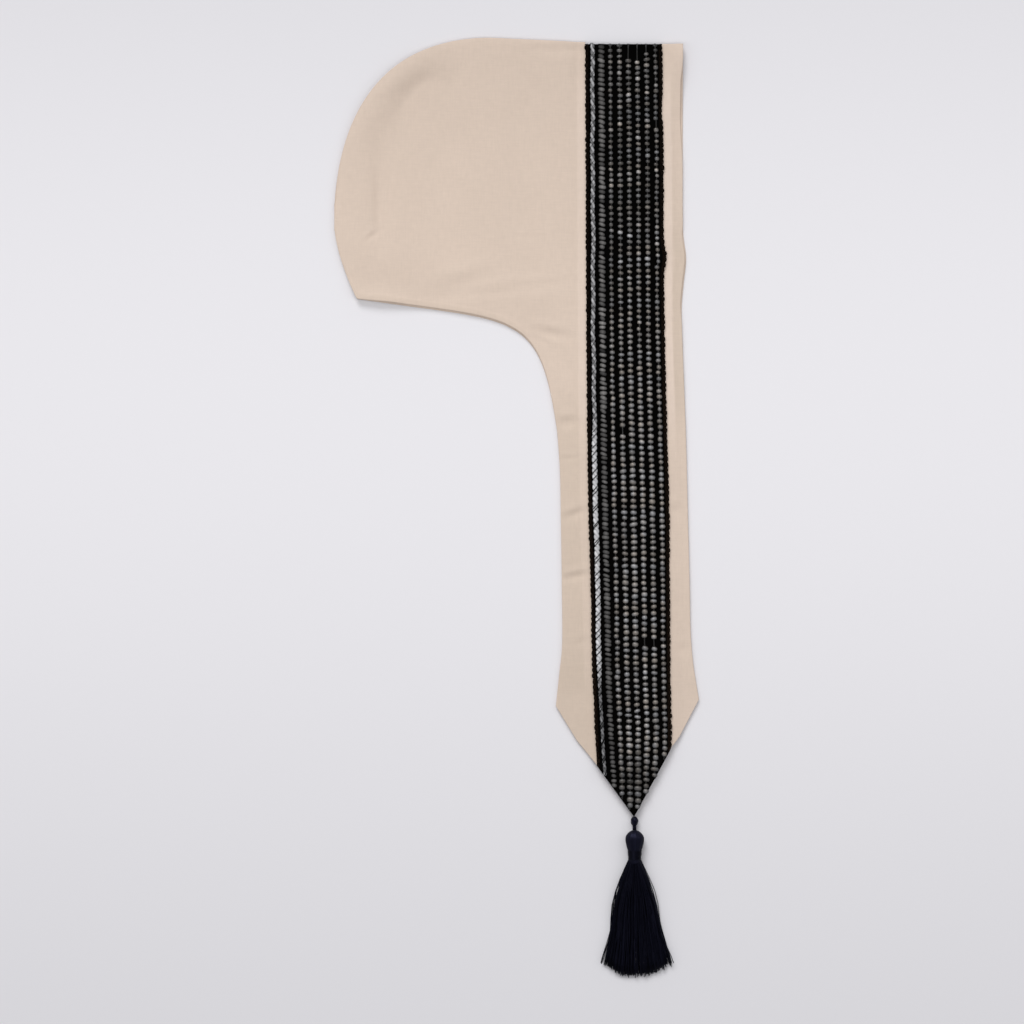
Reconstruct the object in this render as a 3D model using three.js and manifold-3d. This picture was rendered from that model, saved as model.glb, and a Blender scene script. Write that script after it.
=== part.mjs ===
// Hooded scarf of plain cloth, laid on its side on a flat surface, its two halves on each other.
// A band with raised rows runs down the face edge to the pointed end, where one tassel hangs.
// Millimetres. x runs towards the face edge, y up towards the crown, z off the surface it lies on.
// The datum is the middle of the band at the fold on top of the head.
import * as THREE from 'three';
import { mergeVertices } from 'three/addons/utils/BufferGeometryUtils.js';
import Module from 'manifold-3d';

const wasm = await Module();
wasm.setup();

const { clamp, lerp, smoothstep, seededRandom } = THREE.MathUtils;
const point = (x, y) => new THREE.Vector2(x, y);

// ---- Driving sizes -------------------------------------------------------------------------

const CLOTH = 1.3;                // wall of a side panel
const GAP = 0.3;                  // clearance between neighbouring pieces
const UNDER_BAND = 1.8;           // band underneath, its rows pressed flat
const UPPER_BAND = 1.4;           // woven ground of the band on top
const STEP = UNDER_BAND + GAP;    // the cloth climbs this far to cross the band underneath
const CLIMB = 7.2;                // and takes this width to do it, on each side of the band
const CLIMB_TOP = 1.5;            // stretch beside the band that is already at full height

const HOOD = {
  back: -260.4,                   // furthest point of the back of the head
  backLevel: -160,                // and its level below the fold
  flatBack: 1.6,                  // the back runs straight where it lies this close to that point
  crown: -120,                    // the crown starts to round here
  rise: 5.8,                      // this much above the fold at the band
  riseFrom: -10,                  // and the top edge starts to rise towards it here
  faceTop: 53.5,                  // face edge at the fold
  nape: point(-240, -229.4),      // where the neck edge starts
  throat: -105.8,                 // the neck edge begins to bend down into the lappet here
  lappetTop: -350,                // and runs straight down from this level
};
const NECK_PEEK = 1.3;            // the half underneath shows this much below the neck edge
const FACE_PEEK = { from: -10, to: -80, width: 2.2 };  // and this much past the face edge
const SEAM = { crest: 1.9, crestAt: 6, width: 18, underRise: 0.9, underWidth: 4 };
const HEM = { face: 10.8, fold: 1.2, edge: 1.5, relief: 0.5, from: -300, to: -345 };
const NECK_HEM = 0.35;            // relief of the narrow neck hem

// Face edge, and the outer edge of the lappet, at their levels down the scarf.
const FACE_EDGE = [
  { level: 12, x: 53.5 }, { level: 0, x: 53.5 }, { level: -86, x: 53.5 }, { level: -172, x: 53.6 },
  { level: -196, x: 55.6 }, { level: -235, x: 52.4 }, { level: -275, x: 53.5 }, { level: -347, x: 56.2 },
  { level: -419, x: 58 }, { level: -491, x: 59.8 }, { level: -532, x: 60.7 }, { level: -563, x: 63.5 },
  { level: -600, x: 68.6 },
];
const LAPPET_EDGE = [
  { level: -350, x: -59.5 }, { level: -383, x: -57.2 }, { level: -428, x: -56.3 },
  { level: -491, x: -55.4 }, { level: -545, x: -55.4 }, { level: -581, x: -59.9 }, { level: -600, x: -61 },
];
// Middle and width of the band down its length.
const BAND = [
  { level: 12, middle: 0, width: 68.4 }, { level: 0, middle: 0, width: 68.4 },
  { level: -100, middle: 0.9, width: 69.2 }, { level: -230, middle: 1.4, width: 69.5 },
  { level: -347, middle: 3.1, width: 71 }, { level: -410, middle: 4.5, width: 72 },
  { level: -491, middle: 5.9, width: 70.5 }, { level: -572, middle: 7.2, width: 69.5 },
  { level: -626, middle: 9, width: 68.4 }, { level: -700, middle: 9.4, width: 68.4 },
];
// The pointed end: its corners, where its edges bow, and where the band's edges and middle reach it.
const END = {
  start: -560,
  left: point(-60.8, -596),
  leftBow: point(-42, -627),
  bandLeft: point(-24, -649),
  tip: point(9.4, -695),
  bandRight: point(42.6, -633.6),
  rightBow: point(50.6, -623.2),
  right: point(68, -590),
};
const BAND_OVERHANG = 0.4;        // the band ends this far past the cloth's point and hides it

// ---- Stations of the panel mesh ------------------------------------------------------------

// Upright lines behind the throat, by their place along x.
const HOOD_LINES = [-260.2, -257, -252, -245, -236, -227, -221, -213, -200, -184, -166, -146, -126];
// Rows across the hood, by their depth below the crown where the throat starts.
const HOOD_DEPTH = 260;
const HOOD_ROWS = [0, 2.5, 6, 11, 18, 32, 52, 76, 100, 126, 152, 178, 204, 228, 248, 253.4, 254.6, 258.6, 260];
// Rows across the lappet, by their level; they close up round its creases.
const LAPPET_ROWS = [
  -258, -264, -272, -284, -300, -318, -332, -339, -346, -366, -373, -380, -400,
  -417, -423, -429, -450, -473, -479, -485, -510, -533, -539, -545, -560,
];
// Rows into the pointed end, as shares of the way to its edge.
const END_ROWS = [0.25, 0.5, 0.76, 1];
// Lines behind the band, as shares of the way from the edge to the foot of the climb.
const SIDE_SHARES = [0.12, 0.45, 0.9, 1];
// The half underneath lies flat, so it keeps only these of the lines and rows.
const FLAT_HOOD_LINES = [-260.2, -257, -249, -236, -218, -196, -168, -138];
const FLAT_HOOD_ROWS = [0, 6, 32, 76, 100, 126, 178, 228, 260];
const FLAT_LAPPET_ROWS = [-258, -264, -272, -284, -300, -332, -373, -423, -479, -539, -560];

// Swells of the cloth, and creases pressed into its outer face. Angle is turned from +x.
const SWELLS = [
  { name: 'back of the crown', x: -196, y: -100, angle: 60, length: 60, width: 34, height: 1.7 },
  { name: 'middle of the hood', x: -118, y: -120, angle: 95, length: 95, width: 40, height: 1.3 },
  { name: 'above the nape', x: -206, y: -192, angle: -8, length: 45, width: 20, height: 1.2 },
  { name: 'above the throat', x: -104, y: -222, angle: -6, length: 60, width: 16, height: 1.1 },
  { name: 'below the throat', x: -56, y: -305, angle: -60, length: 26, width: 9, height: 0.9 },
];
const CREASES = [
  { name: 'upright crease of the hood', x: -221, y: -134, angle: 90, length: 42, width: 5, depth: 0.3 },
  { name: 'crease at the throat', x: -62, y: -262, angle: -8, length: 20, width: 5, depth: 0.3 },
  { name: 'first of the lappet', x: -52, y: -339, angle: 0, length: 10, width: 4, depth: 0.2 },
  { name: 'second', x: -48, y: -373, angle: 0, length: 12, width: 4, depth: 0.15 },
  { name: 'third', x: -45, y: -423, angle: 6, length: 14, width: 4, depth: 0.28 },
  { name: 'fourth', x: -44, y: -479, angle: 0, length: 16, width: 4, depth: 0.3 },
  { name: 'fifth', x: -44, y: -539, angle: 8, length: 14, width: 4, depth: 0.25 },
];

// ---- Sizes of the band and the tassel --------------------------------------------------------

// Raised rows of the band from its inner edge: a rope, a cord, then six rows of beads.
const ROW_COUNT = 8;
const FIRST_ROW = 0.0855;         // place of the first row, as a share of the band's width
const ROW_PITCH = 0.1184;         // and from each row to the next
const ROW_RELIEF = [1.9, 1.1, 1.7, 1.7, 1.7, 1.7, 1.7, 1.7];
const ROW_CREST = 0.026;          // half the width of a row's crest, as a share of the width
const SELVEDGE = 0.024;           // flat edge beside the outer rows
const BAND_LEVELS = [
  -2, -34, -66, -98, -130, -164, -198, -232, -266, -300, -330, -360, -390, -420, -450, -480, -520, -560,
];
const BAND_END_ROWS = [0.35, 0.7, 1];

const TASSEL = {
  x: 9.9,                         // its axis
  ballTop: -695.6, ball: 3.4, ballHeight: 4.1, cord: 1.7, cordEnd: -707,
  headTop: -707.3, headEnd: -725.2, head: 8.35, neck: 5.1,
  bindingEnd: -733.6, binding: 6.15,
  rootEnd: -737.5, root: 5.6, squash: 0.8,
  axisHeight: 7,
};
// Width and height of the skirt of threads, down from the end of the binding, and the share that its
// left half reaches out.
const SKIRT = [
  { down: 0, width: 10.2, height: 8.2, left: 1 }, { down: 7, width: 17, height: 9.6, left: 1 },
  { down: 22, width: 28.5, height: 8.6, left: 0.98 }, { down: 43, width: 39.5, height: 6.8, left: 0.94 },
  { down: 72, width: 49.5, height: 5.4, left: 0.87 }, { down: 106, width: 66, height: 4.6, left: 0.86 },
];
const THREAD = { columns: 27, layers: 4, fill: 0.3, layerFill: 0.3, spread: 0.28, floor: 0.5, seed: 7 };
const SKIRT_LENGTH = { middle: 106, side: 94, uneven: 4 };

// ---- Tables and outlines -------------------------------------------------------------------

// Reads a column of a table at a level, as a smooth curve through its rows.
function tableValue(rows, key, level) {
  let i = 0;
  while (i < rows.length - 2 && level < rows[i + 1].level) {
    i += 1;
  }
  const [a, b] = [rows[i], rows[i + 1]];
  const before = rows[Math.max(i - 1, 0)];
  const after = rows[Math.min(i + 2, rows.length - 1)];
  const span = b.level - a.level;
  const t = clamp((level - a.level) / span, 0, 1);
  const slopeA = (b[key] - before[key]) / (b.level - before.level) * span;
  const slopeB = (after[key] - a[key]) / (after.level - a.level) * span;
  const [t2, t3] = [t * t, t * t * t];
  return (2 * t3 - 3 * t2 + 1) * a[key] + (t3 - 2 * t2 + t) * slopeA
    + (3 * t2 - 2 * t3) * b[key] + (t3 - t2) * slopeB;
}

// The point of a curve where one coordinate, which only rises or only falls along it, has a value.
function curveAt(curve, axis, value) {
  let [low, high] = [0, 1];
  const rising = curve.getPoint(1)[axis] > curve.getPoint(0)[axis];
  for (let i = 0; i < 40; i += 1) {
    const middle = (low + high) / 2;
    if ((curve.getPoint(middle)[axis] < value) === rising) {
      low = middle;
    } else {
      high = middle;
    }
  }
  return curve.getPoint((low + high) / 2);
}

const crownCurve = new THREE.CubicBezierCurve(
  point(HOOD.crown, HOOD.rise), point(HOOD.crown - 98, HOOD.rise),
  point(HOOD.back, HOOD.backLevel + 94), point(HOOD.back, HOOD.backLevel));
const backCurve = new THREE.CubicBezierCurve(
  point(HOOD.back, HOOD.backLevel), point(HOOD.back, HOOD.backLevel - 24),
  point(HOOD.nape.x - 7, HOOD.nape.y + 14), HOOD.nape);
const neckCurve = new THREE.CubicBezierCurve(
  HOOD.nape, point(HOOD.nape.x + 147, HOOD.nape.y - 21.6),
  point(-75.5, -238), point(-59.5, HOOD.lappetTop));

function topEdge(x) {
  if (x < HOOD.crown) {
    return curveAt(crownCurve, 'x', Math.max(x, HOOD.back + HOOD.flatBack)).y;
  }
  return HOOD.rise * clamp((HOOD.riseFrom - x) / (HOOD.riseFrom - HOOD.crown), 0, 1) ** 0.85;
}

// How far the neck edge of the upper half is drawn back from that of the half underneath.
function neckPeek(side, x, y) {
  return side.isUpper ? NECK_PEEK * smoothstep(x, -240, -205) * smoothstep(y, -335, -290) : 0;
}

function neckEdge(side, x) {
  if (x < HOOD.nape.x) {
    return curveAt(backCurve, 'x', Math.max(x, HOOD.back + HOOD.flatBack)).y;
  }
  return curveAt(neckCurve, 'x', x).y + neckPeek(side, x, HOOD.nape.y);
}

function lappetEdge(side, level) {
  if (level > HOOD.lappetTop) {
    return curveAt(neckCurve, 'y', level - neckPeek(side, HOOD.throat, level)).x;
  }
  return tableValue(LAPPET_EDGE, 'x', level);
}

function faceEdge(side, level) {
  const { from, to, width } = FACE_PEEK;
  const drawnBack = smoothstep(level, to - 12, to) * (1 - smoothstep(level, from, 0));
  return tableValue(FACE_EDGE, 'x', level) - (side.isUpper ? width * drawnBack : 0);
}

// Where the face hem starts. Both halves share this line, so that they climb over the band alike.
function hemStart(level) {
  const { to, width } = FACE_PEEK;
  return tableValue(FACE_EDGE, 'x', level) - HEM.face - width * smoothstep(level, to - 12, to);
}

// The level of the pointed end below a place along x.
function endEdge(x) {
  const corners = [END.left, END.leftBow, END.bandLeft, END.tip, END.bandRight, END.rightBow, END.right];
  let i = 0;
  while (i < corners.length - 2 && x > corners[i + 1].x) {
    i += 1;
  }
  const [a, b] = [corners[i], corners[i + 1]];
  return lerp(a.y, b.y, (x - a.x) / (b.x - a.x));
}

// Places of the edges and of the band at a level, or at the pointed end.
function anchorsAt(side, level) {
  const middle = tableValue(BAND, 'middle', level);
  const half = tableValue(BAND, 'width', level) / 2;
  const edge = level > neckEdge(side, HOOD.throat) ? HOOD.throat : lappetEdge(side, level);
  return {
    edge, bandLeft: middle - half, middle, bandRight: middle + half, hem: hemStart(level), face: faceEdge(side, level),
  };
}
const END_ANCHORS = {
  edge: END.left.x, bandLeft: END.bandLeft.x, middle: END.tip.x, bandRight: END.bandRight.x,
  hem: END.right.x - HEM.face, face: END.right.x,
};
function mixAnchors(a, b, share) {
  return Object.fromEntries(Object.keys(a).map((key) => [key, lerp(a[key], b[key], share)]));
}

// ---- Heights of the cloth ------------------------------------------------------------------

const seamLine = [
  ...Array.from({ length: 40 }, (_, i) => lerp(HOOD.faceTop, HOOD.crown, i / 40)).map((x) => point(x, topEdge(x))),
  ...crownCurve.getPoints(60),
  ...backCurve.getPoints(24).slice(0, 18),
];
const seamDistance = (x, y) => Math.min(...seamLine.map((p) => Math.hypot(p.x - x, p.y - y)));

// A patch that fades out along and across a line at an angle.
function patch({ x, y, angle, length, width }, px, py) {
  const turn = THREE.MathUtils.degToRad(angle);
  const along = ((px - x) * Math.cos(turn) + (py - y) * Math.sin(turn)) / length;
  const across = ((py - y) * Math.cos(turn) - (px - x) * Math.sin(turn)) / width;
  return Math.exp(-along * along - across * across);
}

// 1 over the band underneath, 0 where the cloth lies on the surface, and the climb between.
function climb(anchors, x) {
  const foot = Math.max(anchors.bandLeft - x, x - anchors.bandRight);
  return clamp((CLIMB - foot) / (CLIMB - CLIMB_TOP), 0, 1);
}

// Heights of both faces of both halves at a place.
function clothHeights(anchors, x, y) {
  const step = STEP * climb(anchors, x);
  const free = smoothstep(Math.max(anchors.bandLeft - x, x - anchors.bandRight), CLIMB_TOP, CLIMB * 2);
  const d = seamDistance(x, y);
  const underLow = step + free * SEAM.underRise * clamp(1 - d / SEAM.underWidth, 0, 1);
  const rolled = d < SEAM.crestAt
    ? Math.sin(d / SEAM.crestAt * Math.PI / 2)
    : 1 - smoothstep(d, SEAM.crestAt, SEAM.width);
  const loft = SWELLS.reduce((sum, swell) => sum + swell.height * patch(swell, x, y), 0);
  const lift = free * (SEAM.crest * rolled + loft * smoothstep(d, 0, SEAM.width));
  const crease = CREASES.reduce((sum, fold) => sum + fold.depth * patch(fold, x, y), 0);
  const upperLow = underLow + CLOTH + GAP + lift;
  return {
    underLow,
    underHigh: underLow + CLOTH,
    upperLow,
    upperHigh: upperLow + CLOTH - Math.min(crease, CLOTH - 1),
  };
}
const CLOTH_TOP = STEP + CLOTH + GAP + CLOTH;    // outer face of the cloth where it crosses the band

// ---- Closed walls from grids ---------------------------------------------------------------

function geometryFrom(vertices, index) {
  const geometry = new THREE.BufferGeometry();
  geometry.setAttribute('position', new THREE.Float32BufferAttribute(vertices.flatMap((v) => v.toArray()), 3));
  geometry.setIndex(index);
  geometry.computeVertexNormals();
  return geometry;
}

// A wall over a grid of nodes that hold an outer and an inner point. Rows run down and nodes run
// along +x seen from the outer face. A missing node leaves its cells out.
function wallFromGrid(grid) {
  const columns = Math.max(...grid.map((row) => row.length));
  const vertices = [];
  const index = [];
  const number = grid.map((row) => Array.from({ length: columns }, (_, c) => {
    if (!row[c]) {
      return -1;
    }
    vertices.push(row[c].outer, row[c].inner);
    return vertices.length - 2;
  }));
  const edges = new Map();
  for (let r = 0; r < grid.length - 1; r += 1) {
    for (let c = 0; c < columns - 1; c += 1) {
      const corners = [number[r][c], number[r + 1][c], number[r + 1][c + 1], number[r][c + 1]];
      if (Math.min(...corners) < 0) {
        continue;
      }
      for (const [i, j, k] of [[0, 1, 2], [0, 2, 3]]) {
        index.push(corners[i], corners[j], corners[k]);
        index.push(corners[i] + 1, corners[k] + 1, corners[j] + 1);
      }
      corners.forEach((p, i) => edges.set(`${p} ${corners[(i + 1) % 4]}`, [p, corners[(i + 1) % 4]]));
    }
  }
  for (const [p, q] of edges.values()) {
    if (!edges.has(`${q} ${p}`)) {
      index.push(q, p, p + 1, q, p + 1, q + 1);
    }
  }
  return geometryFrom(vertices, index);
}

// ---- Side panels ---------------------------------------------------------------------------

// Places along x of the lines from the throat, or the lappet's outer edge, to the face edge.
function frontLines(anchors) {
  const { edge, bandLeft, middle, bandRight, hem, face } = anchors;
  const foot = bandLeft - CLIMB;
  return [
    ...[0, ...SIDE_SHARES].map((share) => lerp(edge, foot, share)),
    bandLeft - CLIMB_TOP, bandLeft, middle, bandRight, bandRight + CLIMB_TOP,
    hem, hem + HEM.fold, face - HEM.edge, face,
  ];
}
// Share of the full hem relief on each of those lines: at the outer edge, then at the face edge.
const LAPPET_HEM = [0.3, 1, 1, 1, 0];
const FACE_HEM = [0, 1, 1, 0.3];

// Relief of the hems on the outer face, by line and level.
function hemRelief(line, lineCount, level) {
  if (line < LAPPET_HEM.length) {
    return HEM.relief * LAPPET_HEM[line] * (1 - smoothstep(level, HEM.to, HEM.from));
  }
  const fromFace = line - (lineCount - FACE_HEM.length);
  return fromFace >= 0 ? HEM.relief * FACE_HEM[fromFace] : 0;
}

function panelNode(side, anchors, x, y, relief) {
  const heights = clothHeights(anchors, x, y);
  const high = side.isUpper ? heights.upperHigh + relief : heights.underHigh;
  const low = side.isUpper ? heights.upperLow : heights.underLow;
  return { outer: new THREE.Vector3(x, y, high), inner: new THREE.Vector3(x, y, low) };
}

// The top edge, drawn back inside the turn of the band where the two cross.
function panelTop(anchors, x) {
  const inBand = clamp(climb(anchors, x) * 4 - 3, 0, 1);
  return topEdge(x) - inBand * (UPPER_BAND + 2 * GAP + topEdge(x));
}

function sidePanel(side) {
  const grid = [];
  const throatLevel = neckEdge(side, HOOD.throat);
  const isNeckHem = (depth) => depth > HOOD_DEPTH - 6 && depth < HOOD_DEPTH;
  for (const depth of side.hoodRows) {
    const share = depth / HOOD_DEPTH;
    const hood = side.hoodLines.map((x) => {
      const y = lerp(topEdge(x), neckEdge(side, x), share);
      return panelNode(side, anchorsAt(side, y), x, y, isNeckHem(depth) ? NECK_HEM : 0);
    });
    const level = lerp(HOOD.rise, throatLevel, share);
    const anchors = anchorsAt(side, Math.max(level, throatLevel + 1e-6));
    const lines = frontLines(anchors);
    const front = lines.map((x, line) => {
      const y = lerp(panelTop(anchors, x), throatLevel, share);
      const neck = isNeckHem(depth) && line < 2 ? NECK_HEM * (1 - line / 2) : 0;
      return panelNode(side, anchors, x, y, neck + hemRelief(line, lines.length, y));
    });
    grid.push([...hood, ...front]);
  }
  const skipped = new Array(side.hoodLines.length).fill(null);
  for (const level of side.lappetRows) {
    const anchors = anchorsAt(side, level);
    const lines = frontLines(anchors);
    const row = lines.map((x, line) => panelNode(side, anchors, x, level, hemRelief(line, lines.length, level)));
    grid.push([...skipped, ...row]);
  }
  const start = anchorsAt(side, END.start);
  const endLines = frontLines(END_ANCHORS);
  for (const share of END_ROWS) {
    const anchors = mixAnchors(start, END_ANCHORS, share);
    const lines = frontLines(anchors);
    const row = lines.map((x, line) => {
      const y = lerp(END.start, endEdge(endLines[line]), share);
      return panelNode(side, anchors, x, y, hemRelief(line, lines.length, y) * (1 - share));
    });
    grid.push([...skipped, ...row]);
  }
  return wallFromGrid(grid);
}

const UPPER = { isUpper: true, hoodLines: HOOD_LINES, hoodRows: HOOD_ROWS, lappetRows: LAPPET_ROWS };
const UNDER = {
  isUpper: false, hoodLines: FLAT_HOOD_LINES, hoodRows: FLAT_HOOD_ROWS, lappetRows: FLAT_LAPPET_ROWS,
};

// ---- Band ----------------------------------------------------------------------------------

const ROW_SHARES = Array.from({ length: ROW_COUNT }, (_, i) => FIRST_ROW + i * ROW_PITCH);
// Lines along the upper band: selvedge, then a valley and two crest lines for each raised row.
const BAND_LINES = [
  { share: 0, relief: 0 },
  ...ROW_SHARES.flatMap((share, i) => [
    { share: i === 0 ? SELVEDGE : share - ROW_PITCH / 2, relief: 0 },
    { share: share - ROW_CREST, relief: ROW_RELIEF[i] },
    { share: share + ROW_CREST, relief: ROW_RELIEF[i] },
  ]),
  { share: 1 - SELVEDGE, relief: 0 },
  { share: 1, relief: 0 },
];
const FLAT_BAND_LINES = [0, 0.5, 1].map((share) => ({ share, relief: 0 }));

// The turn over the fold: where each half starts, how it curves, and how it comes to lie flat.
const TOP_HIGH = CLOTH_TOP + GAP + UPPER_BAND;
const MIDDLE_HEIGHT = TOP_HIGH / 2;
const UPPER_TURN = [
  { outer: point(0, MIDDLE_HEIGHT + GAP / 2), inner: point(-UPPER_BAND, MIDDLE_HEIGHT + GAP / 2) },
  { outer: point(0, TOP_HIGH - 1.6), inner: point(-UPPER_BAND, TOP_HIGH - UPPER_BAND - 0.4) },
  { outer: point(-0.5, TOP_HIGH - 0.5), inner: point(-UPPER_BAND - 0.1, TOP_HIGH - UPPER_BAND - 0.1) },
];
const UNDER_TURN = [
  { outer: point(0, MIDDLE_HEIGHT - GAP / 2), inner: point(-UPPER_BAND, MIDDLE_HEIGHT - GAP / 2) },
  { outer: point(0, 1.6), inner: point(-UPPER_BAND, UNDER_BAND + 0.1) },
  { outer: point(-0.5, 0.5), inner: point(-UPPER_BAND - 0.1, UNDER_BAND) },
];

// A node of the band's wall; the relief stands out along the line from its inner to its outer point.
function bandNode(x, outer, inner, relief) {
  const away = outer.clone().sub(inner).normalize().multiplyScalar(relief);
  return {
    outer: new THREE.Vector3(x, outer.x + away.x, outer.y + away.y),
    inner: new THREE.Vector3(x, inner.x, inner.y),
  };
}

function bandGrid({ lines, turn, outerHeight, innerHeight, levels, endRows, reliefAtTurn }) {
  const across = (anchors, share) => lerp(anchors.bandLeft, anchors.bandRight, share);
  const grid = turn.map(({ outer, inner }) => {
    const anchors = anchorsAt(UNDER, 0);
    return lines.map(({ share, relief }) => bandNode(across(anchors, share), outer, inner, relief * reliefAtTurn));
  });
  for (const y of levels) {
    const anchors = anchorsAt(UNDER, y);
    grid.push(lines.map(({ share, relief }) => (
      bandNode(across(anchors, share), point(y, outerHeight), point(y, innerHeight), relief))));
  }
  const start = anchorsAt(UNDER, END.start);
  for (const part of endRows) {
    const anchors = mixAnchors(start, END_ANCHORS, part);
    grid.push(lines.map(({ share, relief }) => {
      const x = across(anchors, share);
      const edge = endEdge(across(END_ANCHORS, share)) - BAND_OVERHANG;
      const y = lerp(END.start, edge, part);
      return bandNode(x, point(y, outerHeight), point(y, innerHeight), relief);
    }));
  }
  return grid;
}

function upperBand() {
  return wallFromGrid(bandGrid({
    lines: BAND_LINES, turn: UPPER_TURN, outerHeight: TOP_HIGH, innerHeight: TOP_HIGH - UPPER_BAND,
    levels: BAND_LEVELS, endRows: BAND_END_ROWS, reliefAtTurn: 0.35,
  }));
}

// The band underneath is turned over: its outer face is the one that rests.
function underBand() {
  const grid = bandGrid({
    lines: FLAT_BAND_LINES, turn: UNDER_TURN, outerHeight: 0, innerHeight: UNDER_BAND,
    levels: BAND_LEVELS.filter((_, i) => i % 2 === 0).concat(END.start), endRows: BAND_END_ROWS, reliefAtTurn: 0,
  });
  return wallFromGrid(grid.map((row) => row.map(({ outer, inner }) => ({ outer: inner, inner: outer }))));
}

// ---- Tassel --------------------------------------------------------------------------------

// A body turned about an axis along y from pairs of radius and level, then squashed in height.
function turned(profile, height, squash, sides) {
  const geometry = new THREE.LatheGeometry(profile.map(([r, y]) => point(r, y)), sides);
  geometry.scale(1, 1, squash);
  geometry.translate(TASSEL.x, 0, height);
  return geometry;
}

function closedGeometry(geometry) {
  geometry.deleteAttribute('normal');
  geometry.deleteAttribute('uv');
  return mergeVertices(geometry, 1e-4);
}

function toSolid(geometry) {
  const closed = closedGeometry(geometry.clone());
  return new wasm.Manifold(new wasm.Mesh({
    numProp: 3,
    vertProperties: closed.getAttribute('position').array,
    triVerts: Uint32Array.from(closed.getIndex().array),
  }));
}

function fromSolid(solid) {
  const { vertProperties, triVerts } = solid.getMesh();
  const geometry = new THREE.BufferGeometry();
  geometry.setAttribute('position', new THREE.Float32BufferAttribute(vertProperties, 3));
  geometry.setIndex(Array.from(triVerts));
  geometry.computeVertexNormals();
  return geometry;
}

// Ball knot with the short cord that goes down into the head.
function tasselKnot() {
  const { ballTop, ball, ballHeight, cord, cordEnd } = TASSEL;
  const middle = ballTop - ballHeight;
  const profile = [[0, cordEnd], [cord, cordEnd]];
  const steps = 8;
  const start = Math.acos(cord / ball);
  for (let i = 0; i < steps; i += 1) {
    const angle = lerp(-start, Math.PI / 2, i / steps);
    profile.push([ball * Math.cos(angle), middle + ballHeight * Math.sin(angle)]);
  }
  profile.push([0, ballTop]);
  return closedGeometry(turned(profile, ball + GAP, 1, 12));
}

// Head, neck and the root that the threads grow out of.
function tasselHead() {
  const { headTop, headEnd, head, neck, bindingEnd, binding, rootEnd, root, squash, axisHeight } = TASSEL;
  const length = headTop - headEnd;
  const profile = [
    [0, rootEnd], [root, rootEnd], [root, bindingEnd - GAP], [neck, bindingEnd - GAP], [neck, headEnd],
    [binding, headEnd], [binding + 1, headEnd + length * 0.2], [head * 0.98, headEnd + length * 0.42],
    [head, headEnd + length * 0.58], [head * 0.9, headEnd + length * 0.78],
    [head * 0.62, headEnd + length * 0.93], [0, headTop],
  ];
  return turned(profile, axisHeight, squash, 16);
}

// Thread wound round the neck, between the head and the skirt.
function tasselBinding() {
  const { headEnd, bindingEnd, binding, neck, squash, axisHeight } = TASSEL;
  const [top, end] = [headEnd - GAP, bindingEnd];
  const inner = neck + GAP;
  const profile = [
    [inner, end], [binding - 0.3, end], [binding, end + 1.2], [binding, top - 1.2], [binding - 0.3, top], [inner, top],
    [inner, end],
  ];
  return closedGeometry(turned(profile, axisHeight, squash, 16));
}

// One thread: a three-sided rod through a section at each row of the skirt's table.
function thread(column, layer) {
  const { columns, layers, fill, layerFill, spread, floor } = THREAD;
  const { bindingEnd, x: axis, axisHeight } = TASSEL;
  const v = lerp(-1, 1, layer / (layers - 1));
  const roundness = Math.sqrt(1 - 0.45 * v * v);
  const shift = (seededRandom() - 0.5) * spread;
  const rowShift = layer % 2 ? 0.5 : 0;
  const u = clamp(((column + rowShift + 0.25) / (columns - 0.5)) * 2 - 1, -1, 1);
  const uneven = (seededRandom() - 0.5) * 2 * SKIRT_LENGTH.uneven;
  const length = lerp(SKIRT_LENGTH.middle, SKIRT_LENGTH.side, u * u) + Math.min(uneven, 0);
  const vertices = [];
  SKIRT.forEach((row) => {
    const down = row.down * length / SKIRT_LENGTH.middle;
    const pitch = row.width / columns;
    const layerPitch = row.height / layers;
    const halfHeight = (row.height - layerPitch) / 2;
    const settle = row.down / SKIRT_LENGTH.middle;
    const low = lerp(axisHeight, halfHeight + floor + layerPitch * layerFill, smoothstep(settle, 0, 0.5));
    const loose = shift * pitch * smoothstep(settle, 0.1, 0.3);
    const reach = (row.width - pitch) / 2 * (u < 0 ? row.left : 1);
    const cx = axis + u * reach * lerp(roundness, 1, settle) + loose;
    const cz = low + v * halfHeight;
    for (let corner = 0; corner < 3; corner += 1) {
      const turn = Math.PI / 2 + corner * Math.PI * 2 / 3;
      vertices.push(new THREE.Vector3(
        cx + Math.cos(turn) * pitch * fill, bindingEnd - Math.max(down, 2 * GAP),
        cz + Math.sin(turn) * layerPitch * layerFill));
    }
  });
  const index = [0, 2, 1];
  for (let i = 0; i < SKIRT.length - 1; i += 1) {
    for (let corner = 0; corner < 3; corner += 1) {
      const [a, b] = [i * 3 + corner, i * 3 + (corner + 1) % 3];
      index.push(a, b, b + 3, a, b + 3, a + 3);
    }
  }
  const last = vertices.length - 3;
  index.push(last, last + 1, last + 2);
  return geometryFrom(vertices, index);
}

// Head and skirt in one body: the threads stand apart and grow out of the root.
function tasselBody() {
  seededRandom(THREAD.seed);
  let solid = toSolid(tasselHead());
  for (let layer = 0; layer < THREAD.layers; layer += 1) {
    for (let column = 0; column < THREAD.columns; column += 1) {
      solid = solid.add(toSolid(thread(column, layer)));
    }
  }
  return fromSolid(solid);
}

// ---- Assembly ------------------------------------------------------------------------------

const finish = (color, roughness) => new THREE.MeshStandardMaterial({ color, roughness, metalness: 0 });
const cloth = finish(0xd6c5b6, 0.95);
const beading = finish(0x4b4846, 0.6);
const silk = finish(0x15161f, 0.5);

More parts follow.
